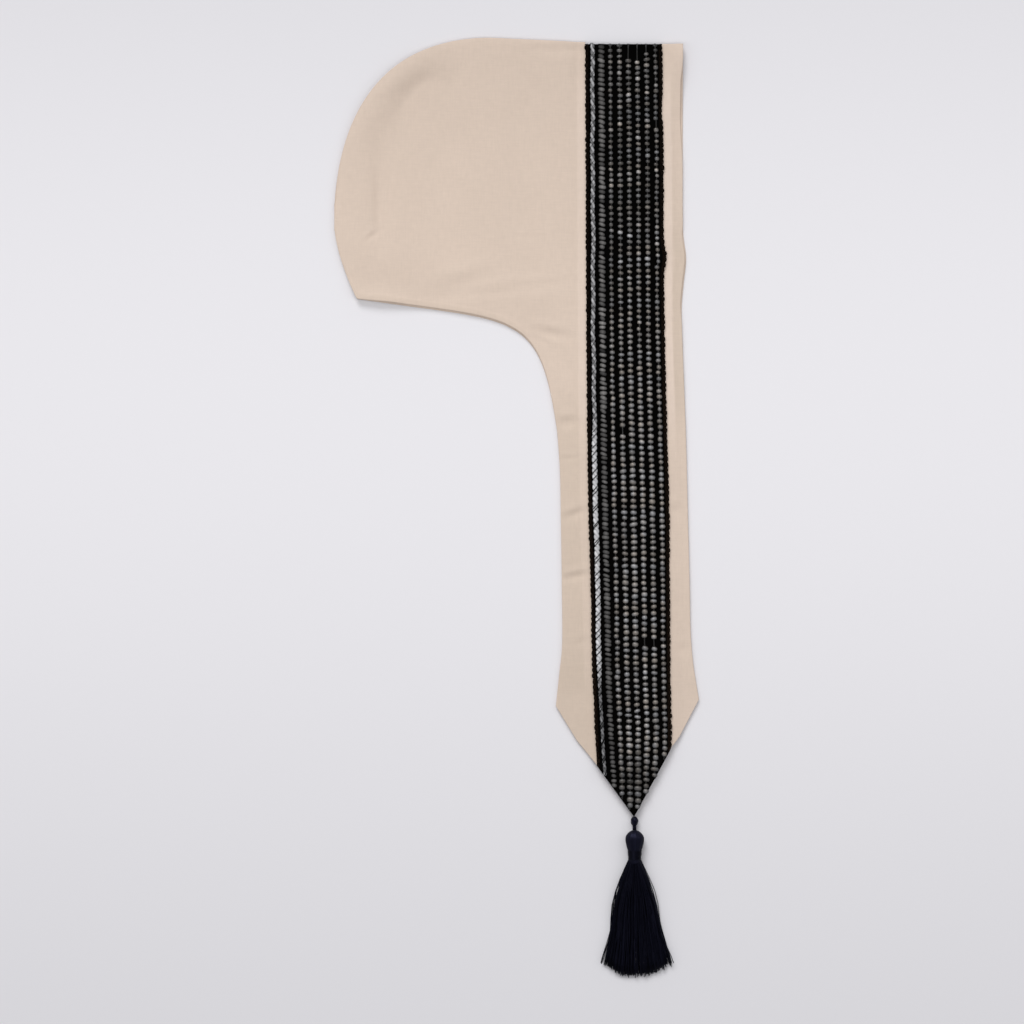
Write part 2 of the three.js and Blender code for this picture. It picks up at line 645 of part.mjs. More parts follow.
const scarf = new THREE.Group();
function addPiece(name, geometry, material) {
  const mesh = new THREE.Mesh(geometry, material);
  mesh.name = name;
  scarf.add(mesh);
}
addPiece('side_panel_under', sidePanel(UNDER), cloth);
addPiece('side_panel_upper', sidePanel(UPPER), cloth);
addPiece('trim_under', underBand(), beading);
addPiece('trim_upper', upperBand(), beading);
addPiece('tassel_knot', tasselKnot(), silk);
addPiece('tassel_binding', tasselBinding(), silk);
addPiece('tassel', tasselBody(), silk);

// The part's origin is under the middle of its outline, on the surface it lies on.
const outline = new THREE.Box3().setFromObject(scarf);
const middle = outline.getCenter(new THREE.Vector3());
scarf.position.set(-middle.x, -middle.y, 0);

const part = new THREE.Group();
part.add(scarf);
export default part;
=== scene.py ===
"""Hooded scarf of plain cloth with a beaded band and one tassel, laid flat on its side.

Sizes are in millimetres. x runs towards the face edge, y up towards the crown and z off the surface
the scarf lies on. The datum is the middle of the band at the fold on top of the head.
"""

import logging
import math
from dataclasses import dataclass, field
from enum import Enum

import bpy
import numpy as np
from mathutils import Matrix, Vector

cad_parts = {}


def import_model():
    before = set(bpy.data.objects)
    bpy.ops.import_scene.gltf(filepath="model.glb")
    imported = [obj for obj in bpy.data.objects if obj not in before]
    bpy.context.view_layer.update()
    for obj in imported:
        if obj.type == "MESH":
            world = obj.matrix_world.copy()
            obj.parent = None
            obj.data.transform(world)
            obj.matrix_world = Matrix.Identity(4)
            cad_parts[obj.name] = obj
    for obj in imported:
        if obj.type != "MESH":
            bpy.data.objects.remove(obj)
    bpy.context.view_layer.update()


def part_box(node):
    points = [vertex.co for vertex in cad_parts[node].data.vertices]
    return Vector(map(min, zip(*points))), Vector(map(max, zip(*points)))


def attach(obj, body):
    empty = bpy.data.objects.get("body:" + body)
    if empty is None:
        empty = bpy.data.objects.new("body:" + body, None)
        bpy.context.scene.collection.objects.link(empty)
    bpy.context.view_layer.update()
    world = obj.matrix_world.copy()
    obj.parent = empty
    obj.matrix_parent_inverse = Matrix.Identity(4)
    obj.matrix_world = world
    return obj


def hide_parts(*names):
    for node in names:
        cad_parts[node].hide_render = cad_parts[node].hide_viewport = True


LOG = logging.getLogger("scarf")
MM = 0.001


# ---- Small tools --------------------------------------------------------------------------------


def linear(colour: str) -> tuple[float, float, float, float]:
    """Turns an sRGB hex colour into the linear one that shaders take.

    Args:
        colour: six hex digits after a hash.

    Returns:
        Red, green, blue and 1.
    """
    parts = [int(colour[i : i + 2], 16) / 255 for i in (1, 3, 5)]
    return (*(p / 12.92 if p <= 0.04045 else ((p + 0.055) / 1.055) ** 2.4 for p in parts), 1.0)


def add_node(
    tree: bpy.types.NodeTree, kind: str, inputs: dict | None = None, **settings: object
) -> bpy.types.Node:
    """Adds a node with its settings, values and links.

    Args:
        tree: the tree it goes into.
        kind: the node's type name without its ShaderNode prefix.
        inputs: a value, or the output socket to link, for each input by name or number.
        settings: the node's own properties.

    Returns:
        The new node.
    """
    node = tree.nodes.new("ShaderNode" + kind)
    for name, value in settings.items():
        setattr(node, name, value)
    for name, value in (inputs or {}).items():
        if isinstance(value, bpy.types.NodeSocket):
            tree.links.new(value, node.inputs[name])
        else:
            node.inputs[name].default_value = value
    return node


def new_material(name: str, inputs: dict) -> tuple[bpy.types.Material, bpy.types.NodeTree, bpy.types.Node]:
    """Makes a material that holds one shader and its output.

    Args:
        name: what the finish is.
        inputs: the shader's values by name.

    Returns:
        The material, its tree and its shader.
    """
    material = bpy.data.materials.new(name)
    material.use_nodes = True
    tree = material.node_tree
    tree.nodes.clear()
    shader = add_node(tree, "BsdfPrincipled", inputs)
    add_node(tree, "OutputMaterial", {"Surface": shader.outputs["BSDF"]})
    return material, tree, shader


def add_noise(tree: bpy.types.NodeTree, place: object, size: float, detail: float = 2.0) -> object:
    """Socket of a noise around 0.5, whose patches are size metres across."""
    return add_node(tree, "TexNoise", {"Vector": place, "Scale": 1 / size, "Detail": detail}).outputs[0]


def add_wave(tree: bpy.types.NodeTree, place: object, length: float, way: str, inputs: dict) -> object:
    """Socket of a wave from 0 to 1, with length metres from crest to crest along one axis.

    The texture's own waves have 20 radians to a unit.
    """
    inputs = {"Vector": place, "Scale": math.tau / 20 / length, **inputs}
    return add_node(tree, "TexWave", inputs, bands_direction=way).outputs[1]


def add_math(tree: bpy.types.NodeTree, operation: str, a: object, b: object, clamp: bool = False) -> object:
    """Socket of a sum, product or greater one of two values or sockets."""
    return add_node(tree, "Math", {0: a, 1: b}, operation=operation, use_clamp=clamp).outputs[0]


def add_blend(tree: bpy.types.NodeTree, share: object, a: object, b: object) -> object:
    """Socket of a colour that goes from a at share 0 to b at share 1."""
    return add_node(tree, "Mix", {"Factor": share, 6: a, 7: b}, data_type="RGBA").outputs[2]


def add_range(tree: bpy.types.NodeTree, value: object, low: tuple, high: tuple) -> object:
    """Socket of a value moved in a straight line from the range low to the range high, and kept in it."""
    ends = {"From Min": low[0], "From Max": low[1], "To Min": high[0], "To Max": high[1]}
    return add_node(tree, "MapRange", {"Value": value, **ends}).outputs[0]


def smooth(value: np.ndarray, low: float, high: float) -> np.ndarray:
    """Rises from 0 at low to 1 at high as 3t^2 - 2t^3."""
    t = np.clip((value - low) / (high - low), 0, 1)
    return t * t * (3 - 2 * t)


def mixed(a: np.ndarray, b: np.ndarray, share: np.ndarray) -> np.ndarray:
    """Goes from a at share 0 to b at share 1 in a straight line."""
    return a + (b - a) * share


def steps(*stops: tuple[float, int]) -> np.ndarray:
    """Places from 0 through the stops, each stretch cut into equal parts.

    Args:
        stops: each stretch's end and the number of parts in it.

    Returns:
        The rising places, with 0 first.
    """
    places = [0.0]
    for end, parts in stops:
        places.extend(np.linspace(places[-1], end, parts + 1)[1:])
    return np.array(places)


@dataclass(frozen=True)
class Table:
    """Smooth curves through rows of values that are given at levels going down."""

    levels: tuple[float, ...]
    columns: dict[str, tuple[float, ...]]

    def at(self, key: str, level: np.ndarray) -> np.ndarray:
        """Reads a column by the cubic through two rows whose slopes come from the rows around them.

        Args:
            key: the column.
            level: where to read it.

        Returns:
            The values, which stay level past the ends of the table.
        """
        down = -np.array(self.levels)
        values = np.array(self.columns[key])
        want = np.clip(-np.asarray(level, float), down[0], down[-1])
        i = np.clip(np.searchsorted(down, want, side="right") - 1, 0, len(down) - 2)
        span = down[i + 1] - down[i]
        t = (want - down[i]) / span
        before, after = np.maximum(i - 1, 0), np.minimum(i + 2, len(down) - 1)
        slope_a = (values[i + 1] - values[before]) / (down[i + 1] - down[before]) * span
        slope_b = (values[after] - values[i]) / (down[after] - down[i]) * span
        t2, t3 = t * t, t * t * t
        return (
            (2 * t3 - 3 * t2 + 1) * values[i]
            + (t3 - 2 * t2 + t) * slope_a
            + (3 * t2 - 2 * t3) * values[i + 1]
            + (t3 - t2) * slope_b
        )


def bezier(a: tuple, b: tuple, c: tuple, d: tuple, count: int = 400) -> np.ndarray:
    """Points of the cubic (1-t)^3 a + 3(1-t)^2 t b + 3(1-t) t^2 c + t^3 d, at equal steps of t."""
    t = np.linspace(0, 1, count)[:, None]
    a, b, c, d = (np.array(p, float) for p in (a, b, c, d))
    return (1 - t) ** 3 * a + 3 * (1 - t) ** 2 * t * b + 3 * (1 - t) * t**2 * c + t**3 * d


def read_curve(points: np.ndarray, axis: int, value: np.ndarray) -> np.ndarray:
    """The other coordinate of a curve where one, which only rises or only falls along it, has a value."""
    ordered = points[np.argsort(points[:, axis])]
    return np.interp(value, ordered[:, axis], ordered[:, 1 - axis])


# ---- Meshes -------------------------------------------------------------------------------------


@dataclass
class Shape:
    """Points of a mesh in millimetres, its faces by number of corners, and each point's tone and UV."""

    points: np.ndarray
    faces: list[np.ndarray]
    tone: np.ndarray
    uv: np.ndarray

    @staticmethod
    def joined(shapes: list["Shape"]) -> "Shape":
        """Puts loose shapes side by side in one."""
        starts = np.cumsum([0] + [len(s.points) for s in shapes[:-1]])
        return Shape(
            np.concatenate([s.points for s in shapes]),
            [f + start for s, start in zip(shapes, starts) for f in s.faces],
            np.concatenate([s.tone for s in shapes]),
            np.concatenate([s.uv for s in shapes]),
        )


@dataclass(frozen=True)
class Datum:
    """Where the scarf's datum stands in the frame, in millimetres."""

    x: float
    y: float

    @classmethod
    def from_panel(cls) -> "Datum":
        """Reads it off the panel underneath, whose right end is 68 and whose top is 5.8 from the datum."""
        _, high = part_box("side_panel_under")
        return cls(high.x / MM - 68.0, high.y / MM - 5.8)

    def build(self, name: str, shape: Shape, material: bpy.types.Material, slot: str) -> bpy.types.Object:
        """Makes a piece of the scarf from a shape.

        Args:
            name: the piece's name.
            shape: its mesh, about the datum.
            material: its finish.
            slot: not used.

        Returns:
            The object, which rides on the scarf.
        """
        places = (shape.points + (self.x, self.y, 0.0)) * MM
        corners = np.concatenate([f.ravel() for f in shape.faces]).astype(np.int32)
        counts = np.concatenate([np.full(len(f), f.shape[1]) for f in shape.faces])
        starts = np.concatenate([[0], np.cumsum(counts)[:-1]]).astype(np.int32)
        mesh = bpy.data.meshes.new(name)
        mesh.vertices.add(len(places))
        mesh.vertices.foreach_set("co", places.astype(np.float32).ravel())
        mesh.loops.add(len(corners))
        mesh.loops.foreach_set("vertex_index", corners)
        mesh.polygons.add(len(starts))
        mesh.polygons.foreach_set("loop_start", starts)
        mesh.update(calc_edges=True)
        mesh.polygons.foreach_set("use_smooth", np.ones(len(starts), bool))
        tone = mesh.attributes.new("tone", "FLOAT", "POINT")
        tone.data.foreach_set("value", shape.tone.astype(np.float32))
        layer = mesh.uv_layers.new(name="threads")
        layer.data.foreach_set("uv", (shape.uv[corners] * MM).astype(np.float32).ravel())
        piece = bpy.data.objects.new(name, mesh)
        bpy.context.scene.collection.objects.link(piece)
        piece.data.materials.append(material)
        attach(piece, "root")
        LOG.info("%s: %d points, %d triangles", name, len(places), int((counts - 2).sum()))
        return piece


def closed_wall(outer: np.ndarray, inner: np.ndarray, tone: np.ndarray, uv: np.ndarray) -> Shape:
    """A closed wall over a grid: both faces, and a rim wherever a face's edge has no neighbour.

    Args:
        outer: rows x columns x 3 points, not a number where the grid has none. Rows run down.
        inner: the same for the other face.
        tone: rows x columns.
        uv: rows x columns x 2.

    Returns:
        The shape, its outer face upwards.
    """
    held = ~np.isnan(outer[..., 0])
    count = int(held.sum())
    number = np.full(held.shape, -1)
    number[held] = np.arange(count)
    cells = np.stack([number[:-1, :-1], number[1:, :-1], number[1:, 1:], number[:-1, 1:]], -1).reshape(-1, 4)
    cells = cells[(cells >= 0).all(1)]
    start, end = cells.ravel(), np.roll(cells, -1, 1).ravel()
    lone = ~np.isin(start * count + end, end * count + start)
    p, q = start[lone], end[lone]
    rim = np.stack([q, p, p + count, q + count], -1)
    return Shape(
        np.concatenate([outer[held], inner[held]]),
        [cells, cells[:, ::-1] + count, rim],
        np.tile(tone[held], 2),
        np.tile(uv[held], (2, 1)),
    )


def around(sides: int, start: float = 0.0) -> np.ndarray:
    """Angles of a ring's corners, the first one start corners on."""
    return (np.arange(sides) + start) * 2 * np.pi / sides


def ring_walls(number: np.ndarray) -> np.ndarray:
    """Four-cornered faces between neighbouring rings.

    Args:
        number: each point's number, by ring and corner, or by rod, ring and corner.

    Returns:
        Faces x 4 numbers.
    """
    following = np.roll(number, -1, -1)
    walls = [number[..., :-1, :], following[..., :-1, :], following[..., 1:, :], number[..., 1:, :]]
    return np.stack(walls, -1).reshape(-1, 4)


def pole_fans(number: np.ndarray) -> np.ndarray:
    """Triangles from the first and the last ring to two poles, whose numbers follow those of the rings."""
    following = np.roll(number, -1, 1)
    pole = np.full(number.shape[1], number.size)
    low = np.stack([following[0], number[0], pole], -1)
    high = np.stack([number[-1], following[-1], pole + 1], -1)
    return np.concatenate([low, high])


def tubes(paths: np.ndarray, radii: np.ndarray, sides: int, tone: np.ndarray) -> Shape:
    """Round rods along paths, closed at both ends.

    A ring's point is path + radius (cos a X + sin a Y), where X is the x axis made square to the path and Y
    is square to both.

    Args:
        paths: rods x stations x 3 points.
        radii: rods x stations.
        sides: corners of a ring.
        tone: rods x stations.

    Returns:
        The shape, whose UV runs round the rod and along it in millimetres.
    """
    rods, stations, _ = paths.shape
    along = np.gradient(paths, axis=1)
    along /= np.linalg.norm(along, axis=2, keepdims=True)
    side = np.array([1.0, 0, 0]) - along[..., :1] * along
    side /= np.linalg.norm(side, axis=2, keepdims=True)
    up = np.cross(along, side)
    turn = around(sides)
    ring = np.cos(turn)[:, None] * side[:, :, None] + np.sin(turn)[:, None] * up[:, :, None]
    points = paths[:, :, None] + radii[:, :, None, None] * ring
    number = np.arange(rods * stations * sides).reshape(rods, stations, sides)
    travelled = np.cumsum(np.linalg.norm(np.diff(paths, axis=1, prepend=paths[:, :1]), axis=2), axis=1)
    uv = np.stack(np.broadcast_arrays(turn * radii.mean(), travelled[:, :, None]), -1)
    return Shape(
        points.reshape(-1, 3),
        [ring_walls(number), number[:, 0, ::-1], number[:, -1]],
        np.repeat(tone.ravel(), sides),
        uv.reshape(-1, 2),
    )


def turned(
    profile: np.ndarray, centre: tuple[float, float], flat: float, sides: int, ridge: np.ndarray
) -> Shape:
    """A body turned about an axis along y, from its lower pole to its upper one.

    A point is centre + r (1 + ridge) (cos a, sin a flat), at its profile's level.

    Args:
        profile: stations x 2 of radius and level, going up, its first and last radius 0.
        centre: the axis' x and z.
        flat: height as a share of width.
        sides: corners of a ring.
        ridge: stations x sides, how far each point stands out as a share of the radius.

    Returns:
        The closed shape.
    """
    turn = around(sides)
    radius = profile[1:-1, :1] * (1 + ridge[1:-1])
    rings = np.stack(
        [
            centre[0] + radius * np.cos(turn),
            np.broadcast_to(profile[1:-1, 1:], radius.shape),
            centre[1] - radius * np.sin(turn) * flat,
        ],
        -1,
    )
    poles = np.array([[centre[0], profile[k, 1], centre[1]] for k in (0, -1)])
    number = np.arange(rings.shape[0] * sides).reshape(-1, sides)
    uv = np.stack(np.broadcast_arrays(turn * profile[:, 0].max(), rings[..., 1]), -1).reshape(-1, 2)
    return Shape(
        np.concatenate([rings.reshape(-1, 3), poles]),
        [ring_walls(number), pole_fans(number)],
        np.full(number.size + 2, 0.5),
        np.concatenate([uv, [[0, profile[0, 1]], [0, profile[-1, 1]]]]),
    )


def grain(exponent: float = 2.4, sides: int = 8, end: float = 0.66) -> tuple[np.ndarray, list[np.ndarray]]:
    """One rounded bead of half size 1, lying along x.

    Its rings stand at x = -end, 0 and end with radius (1 - |x|^exponent)^(1/exponent), between two poles.

    Args:
        exponent: 2 is a ball, more is a barrel.
        sides: corners of a ring.
        end: place of its outer rings.

    Returns:
        Its points and its faces.
    """
    stations = np.array([-end, 0.0, end])[:, None]
    radius = (1 - np.abs(stations) ** exponent) ** (1 / exponent)
    turn = around(sides, 0.5)
    rings = np.stack(np.broadcast_arrays(stations, radius * np.cos(turn), radius * np.sin(turn)), -1)
    number = np.arange(3 * sides).reshape(3, sides)
    points = np.concatenate([rings.reshape(-1, 3), [[-1.0, 0, 0], [1.0, 0, 0]]])
    return points, [ring_walls(number)[:, ::-1], pole_fans(number)[:, ::-1]]


# ---- Finishes -----------------------------------------------------------------------------------


@dataclass(frozen=True)
class PlainCloth:
    """Plain-woven matt polyester crepe, dyed and pressed.

    It gives the eye a soft even beige, in which single threads are too fine to show, a faint mottle where
    the dye took unevenly, and a thin bloom of fibres at grazing angles.
    """

    body: str = "#d8c6b7"
    strip: str = "#e2d0c2"      # lighter strip beside the band
    hem: str = "#cebdad"        # doubled cloth of the hems, a little deeper
    drift: float = 0.7          # metres from crest to crest of the slow swing in the relief
    shade: tuple[float, float] = (0.955, 1.045)     # darkest and lightest of the mottle
    roughness: float = 0.92

    def material(self) -> bpy.types.Material:
        """Colour by the tone attribute, 0 body, 1 strip and -1 hem, with mottle and slubs, and fine bump."""
        looks = {"Roughness": self.roughness, "Specular IOR Level": 0.15}
        sheen = {"Sheen Weight": 0.08, "Sheen Roughness": 0.5}
        material, tree, shader = new_material("crepe_cloth", {**looks, **sheen})
        place = add_node(tree, "UVMap", uv_map="threads").outputs["UV"]
        tone = add_node(tree, "Attribute", attribute_name="tone").outputs["Fac"]
        up = add_math(tree, "MAXIMUM", tone, 0.0)
        down = add_math(tree, "MULTIPLY", tone, -1.0, clamp=True)
        lighter = add_blend(tree, up, linear(self.body), linear(self.strip))
        deeper = add_blend(tree, down, lighter, linear(self.hem))
        # Mottle of the dye, 60 mm and 5 mm across.
        fine = add_noise(tree, place, 0.005, 3.0)
        both = add_math(tree, "ADD", add_noise(tree, place, 0.06), fine)
        # Thicker stretches of single threads, 14 mm long and 1.2 mm wide, along each way of the cloth.
        for ways in ((1 / 0.014, 1 / 0.0012, 1.0), (1 / 0.0012, 1 / 0.014, 1.0)):
            drawn = add_node(tree, "Mapping", {"Vector": place, "Scale": ways}).outputs[0]
            both = add_math(tree, "ADD", both, add_noise(tree, drawn, 1.0, 1.0))
        shade = add_range(tree, both, (1.4, 2.6), self.shade)
        value = add_node(tree, "HueSaturation", {"Value": shade, "Color": deeper}).outputs[0]
        tree.links.new(value, shader.inputs["Base Color"])
        # Fine unevenness, and a slow swing along each way of the cloth. The weave itself is not drawn.
        strength = {"Distortion": 1.2, "Detail": 1.0}
        swings = [add_wave(tree, place, self.drift, way, strength) for way in ("X", "Y")]
        relief = add_math(tree, "ADD", add_math(tree, "MULTIPLY", *swings), fine)
        bump = add_node(tree, "Bump", {"Strength": 0.25, "Distance": 0.00012, "Height": relief})
        tree.links.new(bump.outputs[0], shader.inputs["Normal"])
        return material


@dataclass(frozen=True)
class Thread:
    """A finish of threads or beads, whose tone attribute goes from its deep colour to its bright one."""

    name: str
    deep: str
    bright: str
    roughness: float
    metallic: float = 0.0
    specular: float = 0.4
    tint: str = "#ffffff"
    coat: float = 0.0
    drift: float = 0.6  # metres from crest to crest of the slow swing in colour and relief
    bump: float = 0.3
    way: str = "X"
    warm: str = ""      # what the bright colour changes to, in patches 12 mm across

    def material(self) -> bpy.types.Material:
        """Colour between the two by tone, with patches of wear 3 mm across and a slow swing along the UV."""
        looks = {"Roughness": self.roughness, "Metallic": self.metallic}
        gloss = {"Specular IOR Level": self.specular, "Specular Tint": linear(self.tint)}
        coat = {"Coat Weight": self.coat, "Coat Roughness": 0.3}
        material, tree, shader = new_material(self.name, {**looks, **gloss, **coat})
        place = add_node(tree, "UVMap", uv_map="threads").outputs["UV"]
        tone = add_node(tree, "Attribute", attribute_name="tone").outputs["Fac"]
        swing = add_wave(tree, place, self.drift, self.way, {"Distortion": 2.0, "Detail": 2.0})
        worn = add_math(tree, "MULTIPLY", add_noise(tree, place, 0.003), swing)
        gain = add_range(tree, worn, (0.0, 0.6), (0.72, 1.15))
        lit = add_math(tree, "MULTIPLY", tone, gain, clamp=True)
        bright = linear(self.bright)
        if self.warm:
            share = add_range(tree, add_noise(tree, place, 0.012, 1.0), (0.4, 0.6), (0.0, 1.0))
            bright = add_blend(tree, share, bright, linear(self.warm))
        tree.links.new(add_blend(tree, lit, linear(self.deep), bright), shader.inputs["Base Color"])
        bump = add_node(tree, "Bump", {"Strength": self.bump, "Distance": 0.0002, "Height": swing})
        tree.links.new(bump.outputs[0], shader.inputs["Normal"])
        return material


class Finish(Enum):
    """The threads and beads of the band and the tassel."""

    # Black cotton braid: it swallows light, and only its edges are dark grey.
    BRAID = Thread("cotton_braid", "#020202", "#211812", 1.0, specular=0.03, drift=1.3, bump=0.5, way="Y")
    # Hematite-grey glass beads with soft silvery tops; their sides fall to black with shade painted in by the
    # tone attribute.
    BEAD = Thread(
        "hematite_bead", "#050505", "#d3d3d6", 0.45, metallic=0.35, specular=0.3, coat=0.25,
        drift=14.0, bump=0.02, warm="#cfc5bb",
    )  # fmt: skip
    # Grey viscose cord, wound tightly: matt, with a faint gloss.
    CORD = Thread("viscose_cord", "#040405", "#bdbab8", 0.7, specular=0.2, drift=0.8, bump=0.4, way="Y")
    # Metallised cord wound of white-silver filaments: bright with a slight metal gloss.
    SILVER = Thread(
        "silver_cord", "#040405", "#f7f7fa", 0.5, metallic=0.1, specular=0.2, drift=0.7, bump=0.35
    )
    # Navy-black rayon floss: deep, with a silky sheen along the bends of the threads.
    FLOSS = Thread(
        "rayon_floss", "#010102", "#161724", 0.4, specular=0.16, tint="#c2c4ff", drift=0.5, bump=0.3
    )


@dataclass(frozen=True)
class Paper:
    """Plain matt paper sweep, near white and a little cool."""

    colour: str = "#e8e7eb"

    def material(self) -> bpy.types.Material:
        """An even colour with a slight tooth, 1 mm across, in the bump."""
        looks = {"Base Color": linear(self.colour), "Roughness": 0.95, "Specular IOR Level": 0.1}
        material, tree, shader = new_material("matt_paper", looks)
        place = add_node(tree, "TexCoord").outputs["Object"]
        tooth = add_noise(tree, place, 0.001)
        bump = add_node(tree, "Bump", {"Strength": 0.05, "Distance": 0.0001, "Height": tooth})
        tree.links.new(bump.outputs[0], shader.inputs["Normal"])
        return material


# ---- Outline and heights ------------------------------------------------------------------------


@dataclass(frozen=True)
class Fold:
    """A crease or a swell along a line at an angle from +x: exp(-(along/length)^2 - (across/width)^2)."""

    x: float
    y: float
    angle: float
    length: float
    width: float
    height: float

    def at(self, x: np.ndarray, y: np.ndarray, ridge: float = 0.0) -> np.ndarray:
        """Its height at places.

        Args:
            x: places.
            y: places.
            ridge: how much of the height is pushed up again beside it, on one side.

        Returns:
            The height, negative for a trough.
        """
        turn = math.radians(self.angle)
        along = ((x - self.x) * math.cos(turn) + (y - self.y) * math.sin(turn)) / self.length
        across = ((y - self.y) * math.cos(turn) - (x - self.x) * math.sin(turn)) / self.width
        beside = ridge * np.exp(-((across - 1.7) ** 2))
        return self.height * np.exp(-(along**2)) * (np.exp(-(across**2)) - beside)


@dataclass(frozen=True)
class Outline:
    """Edges of the scarf and of its band, shared by both halves."""

    crown: float = -120.0
    rise: float = 5.8
    rise_from: float = -10.0
    back: float = -260.4
    flat_back: float = 0.4
    nape: tuple[float, float] = (-240.0, -229.4)
    throat: float = -105.8
    lappet_top: float = -350.0
    end_start: float = -560.0
    neck_peek: float = 1.3
    face_peek: float = 2.2
    bulge_peek: float = 1.2
    band_overhang: float = 0.4
    face: Table = Table(
        (12, 0, -86, -166, -191, -214, -237, -275, -347, -419, -491, -532, -563, -600),
        {"x": (53.5, 53.5, 53.5, 53.8, 56.6, 54.4, 52.6, 53.5, 56.2, 58, 59.8, 60.7, 63.5, 68.6)},
    )
    lappet: Table = Table(
        (-350, -383, -428, -491, -545, -581, -600), {"x": (-59.5, -57.2, -56.3, -55.4, -55.4, -59.9, -61)}
    )
    band: Table = Table(
        (12, 0, -100, -230, -347, -410, -491, -572, -626, -700),
        {
            "middle": (0, 0, 0.9, 1.4, 3.1, 4.5, 5.9, 7.2, 9, 9.4),
            "width": (68.4, 68.4, 69.2, 69.5, 71, 72, 70.5, 69.5, 68.4, 68.4),
        },
    )
    # The pointed end: outer corner, bow, band's left edge, point, band's right edge, bow, face corner.
    end: tuple[tuple[float, float], ...] = (
        (-60.8, -596), (-42, -627), (-24, -649), (9.4, -695), (42.6, -633.6), (50.6, -623.2), (68, -590),
    )  # fmt: skip

    def crown_curve(self) -> np.ndarray:
        """Points of the crown and the upper back of the head."""
        return bezier(
            (self.crown, self.rise), (self.crown - 98, self.rise), (self.back, -66), (self.back, -160)
        )

    def back_curve(self) -> np.ndarray:
        """Points of the lower back of the head."""
        return bezier((self.back, -160), (self.back, -184), (self.nape[0] - 7, self.nape[1] + 14), self.nape)

    def neck_curve(self) -> np.ndarray:
        """Points of the neck edge from the nape down to the lappet."""
        return bezier(
            self.nape, (self.nape[0] + 147, self.nape[1] - 21.6), (-75.5, -238), (-59.5, self.lappet_top)
        )

    def top(self, x: np.ndarray) -> np.ndarray:
        """Level of the top edge: the crown's curve, then rise ((from - x) / (from - crown))^0.85."""
        rounded = read_curve(self.crown_curve(), 0, np.maximum(x, self.back + self.flat_back))
        share = np.clip((self.rise_from - x) / (self.rise_from - self.crown), 0, 1)
        return np.where(x < self.crown, rounded, self.rise * share**0.85)

    def peek(self, upper: bool, x: np.ndarray, y: np.ndarray) -> np.ndarray:
        """How far the upper half's neck edge is drawn back from that of the half underneath."""
        return (self.neck_peek if upper else 0.0) * smooth(x, -240, -205) * smooth(y, -335, -290)

    def neck(self, upper: bool, x: np.ndarray) -> np.ndarray:
        """Level of the neck edge behind the throat."""
        x = np.asarray(x, float)
        rear = read_curve(self.back_curve(), 0, np.maximum(x, self.back + self.flat_back))
        front = read_curve(self.neck_curve(), 0, x) + self.peek(upper, x, np.full_like(x, self.nape[1]))
        return np.where(x < self.nape[0], rear, front)

    def anchors(self, upper: bool, level: np.ndarray) -> dict[str, np.ndarray]:
        """Places along x of the outer edge, the band and the face edge at a level.

        Args:
            upper: whether it is the upper half.
            level: levels down the scarf.

        Returns:
            Places by name.
        """
        level = np.asarray(level, float)
        middle = self.band.at("middle", level)
        half = self.band.at("width", level) / 2
        drawn = smooth(level, -112, -62) * (1 - smooth(level, -34, -4)) * self.face_peek
        drawn = drawn + smooth(level, -252, -232) * (1 - smooth(level, -172, -158)) * self.bulge_peek
        drawn = drawn * float(upper)
        drawn_up = self.peek(upper, np.full_like(level, self.throat), level)
        bend = read_curve(self.neck_curve(), 1, level - drawn_up)
        outer = np.where(level > self.lappet_top, bend, self.lappet.at("x", level))
        throat_level = self.neck(upper, np.array([self.throat]))[0]
        return {
            "edge": np.where(level > throat_level - 1e-6, self.throat, outer),
            "left": middle - half,
            "middle": middle,
            "right": middle + half,
            "face": self.face.at("x", level) - drawn,
        }

    def end_anchors(self) -> dict[str, float]:
        """The same places where they reach the pointed end."""
        corners = {"edge": 0, "left": 2, "middle": 3, "right": 4, "face": 6}
        return {name: self.end[corner][0] for name, corner in corners.items()}

    def end_level(self, x: np.ndarray) -> np.ndarray:
        """Level of the pointed end: straight lines between its corners."""
        return np.interp(x, [c[0] for c in self.end], [c[1] for c in self.end])

    def seam_points(self) -> np.ndarray:
        """Points along the seam over the head and down the back."""
        front = np.linspace(53.5, self.crown, 60)
        level = np.stack([front, self.top(front)], -1)
        return np.concatenate([level, self.crown_curve()[::5], self.back_curve()[:280:8]])


